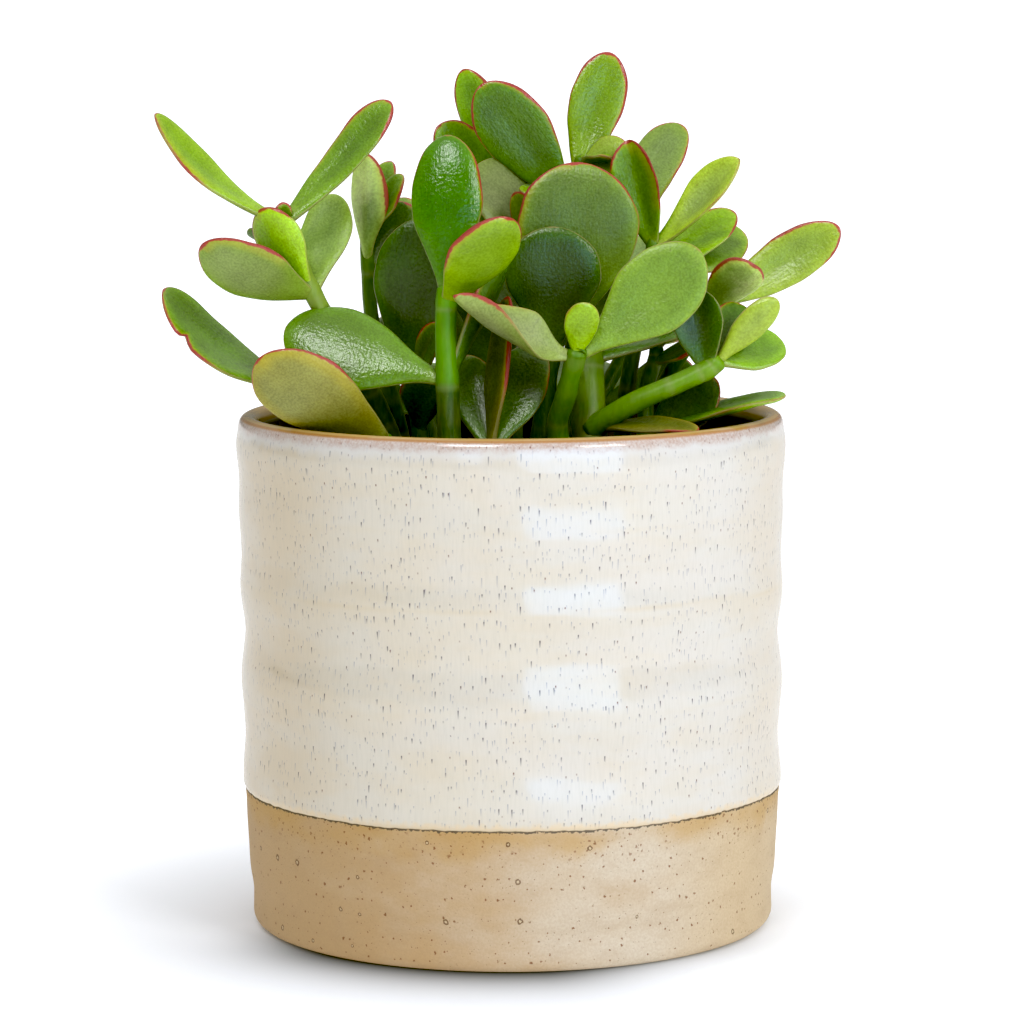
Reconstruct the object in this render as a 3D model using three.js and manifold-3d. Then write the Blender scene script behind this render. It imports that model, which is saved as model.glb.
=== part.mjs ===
// Jade plant in a straight stoneware pot: the pot, its soil and the leafy stems that stand in the soil.
// Millimetres, +Z up. The origin is the middle of the pot's underside; the plant's front faces -Y.

import * as THREE from 'three';
import { mergeVertices } from 'three/addons/utils/BufferGeometryUtils.js';
import Module from 'manifold-3d';

const wasm = await Module();
wasm.setup();

// Pot: thrown on a wheel, so its wall carries shallow rings
const potHeight = 126;
const potSides = 44;
const wallAtLip = 4.8;
const wallAtFloor = 5.2;
const floorThickness = 7;
const footFillet = 3;
// [radius, height] up the outside, from the foot to the widest ring under the lip
const outerWall = [
  [64.4, 3], [64.3, 8], [65.1, 14], [65.4, 20], [65.8, 27], [66.0, 32], [66.6, 37.5], [66.0, 48],
  [66.9, 61], [65.8, 73], [66.9, 84], [66.4, 92], [67.1, 103], [67.5, 118.5],
];
const lipRadius = 66.9;
const lipRise = 2.6;
const lipBase = potHeight - lipRise;
const insideMiddle = 60;

// Soil: fills the pot to a little under the lip, lower at its edge, with a low uneven relief
const soilTop = 110;
const soilGap = 0.3;
const soilEdgeDrop = 1.2;
const soilEdgeWidth = 4;
const soilRingShares = [0.72, 0.5, 0.28];
const soilRelief = 0.7;
const soilSides = 32;

// Stems stand in plain blind holes in the soil
const footHeight = 97;
const holeGap = 0.4;
const holeHeadroom = 6;
const holeSides = 10;
const stemSides = 8;
const nodeSwelling = 1.16;
const crownShare = 0.6;

// Leaf blade: thick, egg-shaped and widest past its middle, on a short stalk
const widestAt = 0.62;
const bladeSteps = [0, 0.12, 0.26, 0.42, 0.6, 0.77, 0.9, 0.97];
const stalkHalfWidth = 1.25;
const stalkHalfThickness = 1.15;
const tipHalfThickness = 0.45;
const bladeHalfThickness = 0.65;
const thicknessPerWidth = 0.03;
// The flat middle of a blade's section, as shares of its half width and of its edges' lift
const shoulderAcross = 0.52;
const shoulderLift = 0.35;

const glazeMaterial = new THREE.MeshStandardMaterial({ color: 0xe6dfd2, roughness: 0.25, metalness: 0 });
const soilMaterial = new THREE.MeshStandardMaterial({ color: 0x35271c, roughness: 0.95, metalness: 0 });
const leafMaterial = new THREE.MeshStandardMaterial({ color: 0x5b9a2c, roughness: 0.4, metalness: 0 });

// One leaf: the stem point that it grows from, its tip, its width, which way its upper side looks,
// how far its middle bulges that way, how far its edges lift, its turn in degrees at the tip,
// and where along it the blade is widest.
function leaf(at, tip, width, face, arch = 0, fold = 0.8, turn = 0, widest = widestAt) {
  return { at, tip, width, face, arch, fold, turn, widest };
}

// Each leafy stem is one or more branches that grow together: path points, radius at foot and tip, leaves.
const leafyStems = [
  {
    name: 'leafy_stem_left',
    branches: [
      {
        path: [
          [-27, -14, footHeight], [-27, -14, 113], [-31, -17, 126], [-36, -20.5, 137], [-42, -24.5, 148],
          [-47, -27, 157], [-50.5, -28, 166], [-53.5, -29, 174], [-54, -29, 177],
        ],
        radius: [2.9, 1.5],
        leaves: [
          leaf(5, [-72.5, -38, 168], 17, [0.15, 0.75, 0.6], -1.5, 1),
          leaf(5, [-41.5, -14, 180], 13, [-0.3, -0.85, 0.45], -1, 0.8),
          leaf(5, [-57, -38, 178], 12, [0.35, 0.8, 0.5], -1, 1),
          leaf(6, [-64, -19, 172], 5, [0.2, 0.4, 0.8]),
          leaf(7, [-83.5, -34, 200], 12, [0.5, -0.5, 0.7], -4, 1),
          leaf(7, [-28.5, -24, 202], 10.5, [-0.45, -0.8, 0.4], -1.2, 1),
          leaf(8, [-54, -27.5, 179.5], 3.5, [0, -0.9, 0.2]),
        ],
      },
      {
        path: [[-31, -17, 126], [-41, -17.5, 130], [-50, -17.5, 134]],
        radius: [2.1, 1.7],
        leaves: [
          leaf(2, [-83, -20, 157.5], 16, [0.35, -0.4, 0.85], -4, 1.2),
          leaf(2, [-66, 4, 139], 13, [0.2, -0.2, 0.9], -1.5),
        ],
      },
    ],
  },
  {
    name: 'leafy_stem_low_left',
    branches: [
      {
        path: [[-27, -30, footHeight], [-27, -30, 112], [-29, -34, 119], [-30, -36, 123]],
        radius: [2.3, 1.9],
        leaves: [
          leaf(3, [-59.5, -46, 141.5], 20, [0.25, 0.9, 0.35], -1.5, 1),
          leaf(2, [-51, -27, 126.5], 10, [0.3, 0.2, 0.95], -1),
        ],
      },
    ],
  },
  {
    name: 'leafy_stem_left_rear',
    branches: [
      {
        path: [
          [-26, -3, footHeight], [-26, -3, 112], [-27.5, -4, 124], [-30.5, -5, 135], [-33.5, -6, 147],
          [-34.5, -6, 162], [-34.8, -6, 169], [-34.2, -6, 173],
        ],
        radius: [2.3, 1.4],
        leaves: [
          leaf(4, [-21, 20, 159], 13, [0, -0.6, 0.8], -1.5),
          leaf(5, [-34, -10, 189.5], 11, [0.35, 0.85, 0.1], -0.8, 1.5),
          leaf(5, [-24, -2, 177], 13, [-0.3, -0.9, 0.2]),
          leaf(5, [-24.5, 8, 178], 9, [-0.2, -0.9, 0.3]),
          leaf(6, [-29.2, 1, 187.5], 7, [-0.8, -0.5, 0.2]),
          leaf(7, [-26, -6, 184.5], 6, [-0.8, -0.5, 0.3]),
        ],
      },
    ],
  },
  {
    name: 'leafy_stem_shaded',
    branches: [
      {
        path: [
          [-21, -20, footHeight], [-21, -20, 112], [-22, -20, 123], [-24, -20, 134], [-26, -20, 142.5],
          [-26, -19, 147],
        ],
        radius: [2.2, 1.5],
        leaves: [
          leaf(3, [-21.5, -23, 174.5], 20, [-0.25, -0.95, 0.1], 1, 1),
          leaf(5, [-21, 3, 165], 12, [0, -0.6, 0.8], -1),
          leaf(3, [-17, -27, 150], 7, [-0.3, -0.8, 0.4]),
          leaf(2, [-22.5, -30, 139], 8, [0.2, 0.6, 0.7]),
        ],
      },
    ],
  },
  {
    name: 'leafy_stem_front_left',
    branches: [
      {
        path: [
          [-14.4, -38, footHeight], [-14.4, -38, 112], [-14.6, -38, 124], [-15, -38, 137], [-15.3, -38, 147],
          [-15.1, -38, 155.5], [-15, -38, 158.5],
        ],
        radius: [3, 2.3],
        leaves: [
          leaf(3, [-53.5, -35.5, 149], 18, [0.1, -0.7, 0.7], 1.5, 1),
          leaf(3, [-0.5, -29, 165], 14, [-0.85, 0.35, 0.4], 0, 1),
          leaf(5, [-14.8, -33, 194.5], 17.5, [0, -0.98, 0.15], -1.5, 1.2),
          leaf(5, [0.5, -52, 175], 16, [-0.25, 0.65, 0.7], -1.2, 1.2),
        ],
      },
    ],
  },
  {
    name: 'leafy_stem_centre_low',
    branches: [
      {
        path: [[-5, -36, footHeight], [-5, -36, 112], [-5, -36.5, 119]],
        radius: [2.2, 2],
        leaves: [
          leaf(2, [-0.5, -30.5, 156.5], 12, [-0.93, -0.35, 0], 0, 0.8),
          leaf(2, [-11, -25, 142], 12, [0.1, -0.9, 0.4]),
          leaf(2, [6, -24, 144], 14, [-0.2, -0.95, 0.2]),
        ],
      },
    ],
  },
  {
    name: 'leafy_stem_centre',
    branches: [
      {
        path: [
          [6, -14, footHeight], [6, -14, 112], [8, -15.5, 128], [10, -17, 142], [13, -14, 147],
          [16.5, -10, 151], [17.5, -8, 155],
        ],
        radius: [2.6, 1.8],
        leaves: [
          leaf(3, [9, -21, 172.5], 24, [0.05, -0.98, 0.15], 0.5, 1),
          leaf(3, [-2, 2, 158], 15, [0.3, -0.5, 0.8], -1.5),
          leaf(5, [15.5, -11, 187.5], 30, [0, -0.97, 0.25], 1.5, 1),
          leaf(6, [1, -5, 180], 12, [-0.8, -0.55, 0.2]),
        ],
      },
    ],
  },
  {
    name: 'leafy_stem_top',
    branches: [
      {
        path: [
          [12, 2, footHeight], [12, 2, 112], [14, 2.5, 127], [15.5, 3, 141], [15.5, 4, 163], [14.5, 5, 177.5],
          [16.8, 6, 184.5], [17.6, 6, 187.5],
        ],
        radius: [2.6, 1.5],
        leaves: [
          leaf(4, [-8.5, 1, 187], 14, [-0.35, -0.45, 0.8]),
          leaf(4, [29, 27, 178], 16, [-0.4, -0.75, 0.4], -1.5),
          leaf(3, [15, 26, 158], 13, [0.1, -0.7, 0.65], -1.5),
          leaf(5, [-7, 2, 206], 15, [-0.35, -0.85, 0.35], -0.5),
          leaf(5, [1.5, 7, 182.5], 8, [-0.2, -0.5, 0.8]),
          leaf(6, [24, 10, 213.5], 14, [0.05, -0.95, 0.2], -1),
          leaf(6, [28.7, 2, 191.5], 11, [-0.5, -0.5, 0.75], 2),
          leaf(7, [24.5, -1, 188], 5, [-0.3, 0.3, 0.9]),
        ],
      },
    ],
  },
  {
    name: 'leafy_stem_back_top',
    branches: [
      {
        path: [
          [-2, 14, footHeight], [-2, 14, 112], [-1, 17, 130], [1, 19, 160], [1.5, 20, 178], [1.5, 20, 183],
        ],
        radius: [2.6, 1.5],
        leaves: [
          leaf(2, [-21, 33, 147], 14, [0.4, -0.5, 0.75], -1.5),
          leaf(3, [21, 41, 176], 16, [-0.3, -0.8, 0.4], -1.5),
          leaf(3, [-19, 37, 177], 15, [0.3, -0.8, 0.4], -1.5),
          leaf(4, [-11.5, 20, 209.5], 11.5, [-0.45, -0.85, 0.3], -1),
          leaf(4, [-18, 13, 195.5], 13, [-0.3, -0.75, 0.5], -1),
          leaf(4, [10, 47, 181], 14, [-0.2, -0.6, 0.7], -1.5),
          leaf(5, [-7, 43, 181], 13, [0.2, -0.6, 0.7], -1.5),
        ],
      },
    ],
  },
  {
    name: 'leafy_stem_right_upper',
    branches: [
      {
        path: [
          [27, -5, footHeight], [27, -5, 112], [28, -5, 128], [31, -4.5, 147], [34.3, -4, 161],
          [34.8, -4, 166.5], [35, -3.5, 169.5],
        ],
        radius: [2.3, 1.5],
        leaves: [
          leaf(4, [56, 4, 175], 12, [-0.2, -0.75, 0.65], -1),
          leaf(4, [58.5, 10, 167.5], 13, [0, -0.8, 0.6], -1),
          leaf(4, [40, 26, 160], 14, [-0.1, -0.6, 0.8], -1.5),
          leaf(5, [28.5, -4, 192.5], 14, [-0.35, -0.9, 0.1], 0, 3.5),
          leaf(5, [55.5, -8, 188], 13, [-0.4, -0.65, 0.65], -3, 3),
          leaf(5, [41.5, 14, 194], 12, [0.1, -0.95, 0.3], -1),
        ],
      },
    ],
  },
  {
    name: 'leafy_stem_right',
    branches: [
      {
        path: [
          [33, 2, footHeight], [33, 2, 112], [35, 0, 127], [42, -6, 141], [48, -9.5, 150], [50, -10, 153.5],
        ],
        radius: [2.2, 1.5],
        leaves: [
          leaf(4, [57.5, -27, 163.5], 15, [0.1, 0.8, 0.55], -1.5, 1),
          leaf(5, [79.8, -10, 171], 14, [-0.25, -0.85, 0.45], -4, 1),
          leaf(5, [58, -4, 159], 6, [-0.3, -0.6, 0.7]),
          leaf(4, [54, 16, 147], 13, [-0.1, -0.5, 0.85], -1),
        ],
      },
    ],
  },
  {
    name: 'leafy_stem_front_trunk',
    branches: [
      {
        path: [
          [19, -25, footHeight], [19, -25, 112], [19, -25, 124], [18.8, -23.5, 132], [18.5, -21, 139.5],
          [18.5, -20, 142.5],
        ],
        radius: [4.2, 3.4],
        leaves: [
          leaf(4, [44, -13, 148], 16, [0, -0.25, 0.97], 1),
          leaf(2, [44.5, -44, 126], 14, [0.1, -0.4, 0.9], 1.5, 0.5),
        ],
      },
      {
        path: [
          [18, -26, 115], [12.5, -31, 120], [11, -33, 126], [13.5, -37, 135], [16, -40, 144.5],
          [16.3, -40.5, 146.5],
        ],
        radius: [2.9, 2.4],
        leaves: [
          leaf(4, [-13, -50, 158], 14, [0.1, -0.7, 0.7], -5, 3, 30, 0.42),
          leaf(4, [45.5, -38, 168], 18, [0.1, -0.9, 0.45], -1, 1),
          leaf(5, [17.6, -46, 156], 8, [0, 0.8, 0.5], 0, 0.3, 0, 0.56),
        ],
      },
      {
        path: [
          [19, -26, 121], [24, -31, 127.5], [32, -33, 132.5], [40, -34, 136], [46.5, -34, 139],
          [49, -34, 141],
        ],
        radius: [2.7, 2.2],
        leaves: [
          leaf(4, [45.5, -40, 158], 13, [0.35, -0.9, 0.2], 0, 2),
          leaf(5, [63, -37, 156], 8, [0.4, 0.6, 0.7]),
          leaf(5, [66, -24, 144.5], 13, [-0.1, -0.75, 0.65], -1),
          leaf(5, [55, -24, 154], 10, [0.2, -0.9, 0.3]),
        ],
      },
    ],
  },
  {
    name: 'leafy_stem_low_right',
    branches: [
      {
        path: [
          [32, -15, footHeight], [32, -15, 112], [32.5, -14.5, 121], [33, -11.5, 132], [35, -9, 139],
          [35.5, -8.5, 142],
        ],
        radius: [2.2, 1.6],
        leaves: [
          leaf(2, [50, -27.5, 134.5], 15, [0, -0.75, 0.65], -0.5),
          leaf(2, [66, -20, 132.5], 16, [0.05, -0.15, 0.98], -1, 0.8),
          leaf(5, [40, -1, 151], 9, [-0.3, -0.6, 0.7]),
          leaf(4, [44.5, -16, 143], 10, [-0.1, -0.5, 0.85]),
        ],
      },
    ],
  },
  {
    name: 'leafy_stem_back_right',
    branches: [
      {
        path: [
          [17, 18, footHeight], [17, 18, 112], [22, 22, 126], [30, 28, 140], [36, 32, 150], [37, 33, 153],
        ],
        radius: [2.5, 1.5],
        leaves: [
          leaf(2, [46, 13, 132], 14, [-0.3, 0, 0.95], -1),
          leaf(2, [22, 50, 134], 13, [0, -0.5, 0.85], -1.5),
          leaf(3, [42, 56, 145], 16, [-0.1, -0.7, 0.65], -1.5),
          leaf(4, [14, 49, 160], 15, [0.2, -0.8, 0.5], -1.5),
          leaf(4, [59, 40, 154], 15, [-0.5, -0.4, 0.75], -1.5),
          leaf(5, [33, 56, 166], 14, [0, -0.75, 0.6], -1.5),
        ],
      },
    ],
  },
  {
    name: 'leafy_stem_back_left',
    branches: [
      {
        path: [
          [-17, 13, footHeight], [-17, 13, 112], [-20, 18, 125], [-25, 23, 137], [-28, 26, 146],
          [-28.5, 26.5, 149],
        ],
        radius: [2.4, 1.5],
        leaves: [
          leaf(2, [-46, 13, 132], 14, [0.3, 0, 0.95], -1),
          leaf(3, [-43, 48, 141], 16, [0.2, -0.7, 0.65], -1.5),
          leaf(4, [-11, 49, 160], 15, [-0.2, -0.8, 0.5], -1.5),
          leaf(4, [-53, 32, 147], 15, [0.5, -0.4, 0.75], -1.5),
          leaf(5, [-30, 50, 163], 14, [0, -0.75, 0.6], -1.5),
        ],
      },
    ],
  },
  {
    name: 'leafy_stem_back_low',
    branches: [
      {
        path: [[1, 31, footHeight], [1, 31, 112], [1, 35, 119], [1.5, 38, 125], [1.5, 39, 128]],
        radius: [2.3, 1.7],
        leaves: [
          leaf(2, [-24, 53, 133], 15, [0.3, -0.6, 0.75], -1),
          leaf(3, [22, 59, 137], 15, [-0.3, -0.6, 0.75], -1),
          leaf(4, [-2, 61, 148], 16, [0, -0.8, 0.55], -1.5),
        ],
      },
    ],
  },
];

// Joins rings of points into a closed solid. The far half of each ring splits its quads the other way,
// so a thin blade is cut into triangles alike on both of its faces.
function loft(rings, tip) {
  const count = rings[0].length;
  const points = rings.flat();
  const triangles = [];
  for (let k = 0; k + 1 < rings.length; k += 1) {
    for (let i = 0; i < count; i += 1) {
      const next = (i + 1) % count;
      const a = k * count + i;
      const b = k * count + next;
      const c = a + count;
      const d = b + count;
      if (i < count / 2) {
        triangles.push(a, b, d, a, d, c);
      } else {
        triangles.push(a, b, c, b, d, c);
      }
    }
  }
  const last = (rings.length - 1) * count;
  const start = points.push(middleOf(rings[0])) - 1;
  const end = points.push(tip) - 1;
  for (let i = 0; i < count; i += 1) {
    const next = (i + 1) % count;
    triangles.push(start, next, i);
    triangles.push(end, last + i, last + next);
  }
  return toSolid(points, triangles);
}

function middleOf(ring) {
  const sum = new THREE.Vector3();
  ring.forEach((point) => sum.add(point));
  return sum.divideScalar(ring.length);
}

// Makes a solid of points and triangles, with its faces turned outwards
function toSolid(points, triangles) {
  let volume = 0;
  for (let t = 0; t < triangles.length; t += 3) {
    const [a, b, c] = [points[triangles[t]], points[triangles[t + 1]], points[triangles[t + 2]]];
    volume += a.dot(new THREE.Vector3().crossVectors(b, c));
  }
  const order = volume < 0 ? [0, 2, 1] : [0, 1, 2];
  const triVerts = new Uint32Array(triangles.length);
  for (let t = 0; t < triangles.length; t += 3) {
    order.forEach((from, to) => {
      triVerts[t + to] = triangles[t + from];
    });
  }
  const vertProperties = new Float32Array(points.flatMap((point) => point.toArray()));
  return new wasm.Manifold(new wasm.Mesh({ numProp: 3, vertProperties, triVerts }));
}

function geometryToSolid(geometry) {
  const bare = geometry.clone();
  bare.deleteAttribute('normal');
  bare.deleteAttribute('uv');
  const merged = mergeVertices(bare, 1e-4);
  const position = merged.attributes.position;
  const points = [];
  for (let i = 0; i < position.count; i += 1) {
    points.push(new THREE.Vector3().fromBufferAttribute(position, i));
  }
  const triangles = [];
  const index = merged.index.array;
  for (let t = 0; t < index.length; t += 3) {
    const corners = [index[t], index[t + 1], index[t + 2]];
    if (new Set(corners).size === 3) {
      triangles.push(...corners);
    }
  }
  return toSolid(points, triangles);
}

function solidToGeometry(solid) {
  const mesh = solid.getMesh();
  const geometry = new THREE.BufferGeometry();
  geometry.setAttribute('position', new THREE.BufferAttribute(new Float32Array(mesh.vertProperties), 3));
  geometry.setIndex(new THREE.BufferAttribute(new Uint32Array(mesh.triVerts), 1));
  geometry.computeVertexNormals();
  return geometry;
}

// Share of the full width at a share of the blade's length
function bladeOutline(along, widest) {
  if (along <= widest) {
    return (0.5 - 0.5 * Math.cos((Math.PI * along) / widest)) ** 0.9;
  }
  return Math.max(0, 1 - ((along - widest) / (1 - widest)) ** 2.2) ** 0.55;
}

function bladeSolid(root, { tip, width, face, arch, fold, turn, widest }) {
  const line = new THREE.Vector3(...tip).sub(root);
  const upper = new THREE.Vector3(...face);
  upper.addScaledVector(line, -upper.dot(line) / line.lengthSq()).normalize();
  const fullest = bladeHalfThickness + thicknessPerWidth * width;
  const rings = bladeSteps.map((along) => {
    const spread = bladeOutline(along, widest);
    const half = THREE.MathUtils.lerp(stalkHalfWidth * (1 - along), width / 2, spread);
    const thinnest = along < widest ? stalkHalfThickness : tipHalfThickness;
    const thick = THREE.MathUtils.lerp(thinnest, fullest, spread);
    const centre = root.clone().addScaledVector(line, along);
    centre.addScaledVector(upper, arch * 4 * along * (1 - along));
    const forward = line.clone().addScaledVector(upper, arch * 4 * (1 - 2 * along)).normalize();
    const normal = upper.clone().addScaledVector(forward, -upper.dot(forward)).normalize();
    normal.applyAxisAngle(forward, THREE.MathUtils.degToRad(turn * along));
    const side = new THREE.Vector3().crossVectors(forward, normal);
    const lift = fold * spread;
    const middle = shoulderLift * lift;
    const section = [
      [-1, lift], [-shoulderAcross, middle + thick], [shoulderAcross, middle + thick],
      [1, lift], [shoulderAcross, middle - thick], [-shoulderAcross, middle - thick],
    ];
    return section.map(([across, up]) =>
      centre.clone().addScaledVector(side, across * half).addScaledVector(normal, up));
  });
  return loft(rings, new THREE.Vector3(...tip));
}

function branchSolid({ path, radius, leaves }) {
  const points = path.map((point) => new THREE.Vector3(...point));
  const nodes = new Set(leaves.map((one) => one.at));
  const curve = new THREE.CatmullRomCurve3(points, false, 'catmullrom', 0.5);
  const steps = points.length - 1;
  const rings = [];
  let out = new THREE.Vector3(1, 0, 0);
  for (let k = 0; k <= steps; k += 1) {
    const centre = points[k];
    const forward = curve.getTangent(k / steps);
    out = out.clone().addScaledVector(forward, -out.dot(forward)).normalize();
    const side = new THREE.Vector3().crossVectors(forward, out);
    const swelling = nodes.has(k) ? nodeSwelling : 1;
    const thick = THREE.MathUtils.lerp(radius[0], radius[1], k / steps) * swelling;
    const ring = [];
    for (let i = 0; i < stemSides; i += 1) {
      const angle = (2 * Math.PI * i) / stemSides;
      ring.push(
        centre.clone()
          .addScaledVector(out, thick * Math.cos(angle))
          .addScaledVector(side, thick * Math.sin(angle)),
      );
    }
    rings.push(ring);
  }
  const end = points.at(-1).clone().addScaledVector(curve.getTangent(1), crownShare * radius[1]);
  let solid = loft(rings, end);
  for (const one of leaves) {
    solid = solid.add(bladeSolid(points[one.at], one));
  }
  return solid;
}

function leafyStemSolid({ branches }) {
  return branches.map(branchSolid).reduce((whole, branch) => whole.add(branch));
}

function lathe(profile, sides) {
  const points = profile.map(([r, z]) => new THREE.Vector2(r, z));
  return new THREE.LatheGeometry(points, sides).rotateX(Math.PI / 2);
}

function outerRadiusAt(z) {
  const above = outerWall.findIndex(([, height]) => height >= z);
  if (above <= 0) {
    return above === 0 ? outerWall[0][0] : outerWall.at(-1)[0];
  }
  const [lowRadius, low] = outerWall[above - 1];
  const [highRadius, high] = outerWall[above];
  return THREE.MathUtils.mapLinear(z, low, high, lowRadius, highRadius);
}

// The inside is smooth: it narrows steadily from the lip to the floor
const innerRadiusAtLip = lipRadius - wallAtLip;
const innerRadiusAtFloor = outerRadiusAt(floorThickness) - wallAtFloor;
function innerRadiusAt(z) {
  const share = (z - floorThickness) / (lipBase - floorThickness);
  return THREE.MathUtils.lerp(innerRadiusAtFloor, innerRadiusAtLip, share);
}

function potGeometry() {
  const footRadius = outerWall[0][0] - footFillet;
  const profile = [[0, 0]];
  for (const degrees of [0, 45]) {
    const angle = THREE.MathUtils.degToRad(degrees);
    profile.push([footRadius + footFillet * Math.sin(angle), footFillet * (1 - Math.cos(angle))]);
  }
  profile.push(...outerWall);
  const lipMiddle = lipRadius - wallAtLip / 2;
  for (const degrees of [0, 45, 90, 135, 180]) {
    const angle = THREE.MathUtils.degToRad(degrees);
    profile.push([lipMiddle + (wallAtLip / 2) * Math.cos(angle), lipBase + lipRise * Math.sin(angle)]);
  }
  profile.push([innerRadiusAt(insideMiddle), insideMiddle]);
  profile.push([innerRadiusAtFloor, floorThickness], [0, floorThickness]);
  return lathe(profile, potSides);
}

// Uneven ground: low mounds and dips between the stems
function groundRise(x, y) {
  const mounds = Math.sin(0.21 * x + 0.6) * Math.cos(0.17 * y);
  const dips = 0.5 * Math.sin(0.38 * x - 0.33 * y);
  return soilRelief * (mounds + dips);
}

function soilGeometry() {
  const bottom = floorThickness + soilGap;
  const rim = innerRadiusAt(soilTop) - soilGap;
  const profile = [
    [0, bottom], [innerRadiusAt(bottom) - soilGap, bottom], [rim, soilTop - soilEdgeDrop],
    [rim - soilEdgeWidth, soilTop], ...soilRingShares.map((share) => [rim * share, soilTop]), [0, soilTop],
  ];
  const ground = lathe(profile, soilSides);
  const position = ground.attributes.position;
  for (let i = 0; i < position.count; i += 1) {
    if (position.getZ(i) > soilTop - soilEdgeDrop / 2) {
      position.setZ(i, soilTop + groundRise(position.getX(i), position.getY(i)));
    }
  }
  let solid = geometryToSolid(ground);
  for (const { branches } of leafyStems) {
    const [{ path, radius }] = branches;
    const [x, y] = path[0];
    const holeRadius = (radius[0] + holeGap) / Math.cos(Math.PI / holeSides);
    const holeFloor = footHeight - holeGap;
    const depth = soilTop + holeHeadroom - holeFloor;
    const hole = new THREE.CylinderGeometry(holeRadius, holeRadius, depth, holeSides).rotateX(Math.PI / 2);
    hole.translate(x, y, holeFloor + depth / 2);
    solid = solid.subtract(geometryToSolid(hole));
  }
  return solidToGeometry(solid);
}

function named(name, geometry, material) {
  const mesh = new THREE.Mesh(geometry, material.clone());
  mesh.name = name;
  return mesh;
}

const group = new THREE.Group();
group.add(named('pot', potGeometry(), glazeMaterial));
group.add(named('soil', soilGeometry(), soilMaterial));
for (const stem of leafyStems) {
  group.add(named(stem.name, solidToGeometry(leafyStemSolid(stem)), leafMaterial));
}

export default group;
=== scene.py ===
import math

import bmesh
import bpy
import numpy as np
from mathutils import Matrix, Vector
from mathutils.bvhtree import BVHTree


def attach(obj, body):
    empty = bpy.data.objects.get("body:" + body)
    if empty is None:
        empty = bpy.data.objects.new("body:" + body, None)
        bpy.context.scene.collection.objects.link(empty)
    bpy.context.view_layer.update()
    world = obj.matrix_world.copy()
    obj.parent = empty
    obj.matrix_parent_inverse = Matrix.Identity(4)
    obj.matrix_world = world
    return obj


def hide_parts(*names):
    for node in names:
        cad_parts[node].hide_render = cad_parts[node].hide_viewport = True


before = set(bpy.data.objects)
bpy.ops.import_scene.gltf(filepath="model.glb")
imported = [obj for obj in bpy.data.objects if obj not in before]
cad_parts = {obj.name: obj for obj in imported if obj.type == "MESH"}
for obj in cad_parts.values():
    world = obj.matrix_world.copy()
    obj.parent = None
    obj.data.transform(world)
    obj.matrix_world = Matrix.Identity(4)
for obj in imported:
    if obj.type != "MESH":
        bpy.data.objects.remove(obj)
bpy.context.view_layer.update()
print("frame loaded")

mm = 0.001  # every table below is in millimetres


def linear(hexColour):
    parts = [int(hexColour[i:i + 2], 16) / 255 for i in (1, 3, 5)]
    return tuple(p / 12.92 if p <= 0.04045 else ((p + 0.055) / 1.055) ** 2.4 for p in parts) + (1.0,)


def setNode(node, values):
    # values are the node's own options first, then its inputs: each a socket to link, a value or a hex colour
    for key, value in values.items():
        if isinstance(value, bpy.types.NodeSocket):
            node.id_data.links.new(value, node.inputs[key])
        elif isinstance(key, str) and key in node.bl_rna.properties:
            setattr(node, key, value)
        else:
            node.inputs[key].default_value = linear(value) if isinstance(value, str) else value


def addNode(tree, kind, values=None, output=0):
    # gives one of the new node's outputs, or the node itself if it has none
    node = tree.nodes.new("ShaderNode" + kind)
    setNode(node, values or {})
    return node.outputs[output] if len(node.outputs) else node


def newMaterial(name, surface="BsdfPrincipled"):
    material = bpy.data.materials.new(name)
    material.use_nodes = True
    tree = material.node_tree
    tree.nodes.clear()
    finish = addNode(tree, surface)
    addNode(tree, "OutputMaterial", {"Surface": finish})
    return material, tree, finish.node


def where(tree, *limits):
    # the share of each place that keeps all the limits: a limit is a share, or a value with the two levels
    # between which it rises smoothly from 0 to 1
    share = None
    for limit in limits:
        if isinstance(limit, tuple):
            value, low, high = limit
            limit = addNode(tree, "MapRange", {
                "interpolation_type": "SMOOTHSTEP", "Value": value, "From Min": low, "From Max": high,
            })
        if share is None:
            share = limit
        else:
            share = addNode(tree, "Math", {"operation": "MULTIPLY", 0: share, 1: limit})
    return share


def total(tree, start, *parts):
    # the start and each part times its own weight, added up
    for part, weight in parts:
        start = addNode(tree, "Math", {"operation": "MULTIPLY_ADD", 0: part, 1: weight, 2: start})
    return start


def coat(tree, base, colour, *limits):
    # lays a colour over the base where the limits let it
    return addNode(tree, "Mix", {"data_type": "RGBA", 0: where(tree, *limits), 6: base, 7: colour}, 2)


def pointValues(tree, *names):
    # the values that the mesh carries at its points
    return [addNode(tree, "Attribute", {"attribute_name": name}, "Fac") for name in names]


def ease(value, low, high):
    share = np.clip((value - low) / (high - low), 0, 1)
    return share * share * (3 - 2 * share)


def mixColours(first, second, share):
    share = np.asarray(share)[..., None]
    return np.asarray(first) * (1 - share) + np.asarray(second) * share


def joined(meshes):
    # the faces of several meshes, counted on as if their points stood in one list
    faces, shift = [], 0
    for points, ownFaces in meshes:
        faces += [[index + shift for index in face] for face in ownFaces]
        shift += len(points)
    return faces


def waves(seed, count, slowest, fastest):
    # a smooth random wobble of three directions: a sum of sines, the same at every run
    draw = np.random.RandomState(seed)
    pitch = draw.uniform(slowest, fastest, count)
    aim = draw.normal(size=(count, 3))
    aim /= np.linalg.norm(aim, axis=1)[:, None]
    phase = draw.uniform(0, 2 * math.pi, count)

    def wobble(points):
        angle = 2 * math.pi * (np.asarray(points) @ (aim / pitch[:, None]).T) + phase
        return np.sin(angle).mean(axis=-1) * math.sqrt(2)

    return wobble


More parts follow.
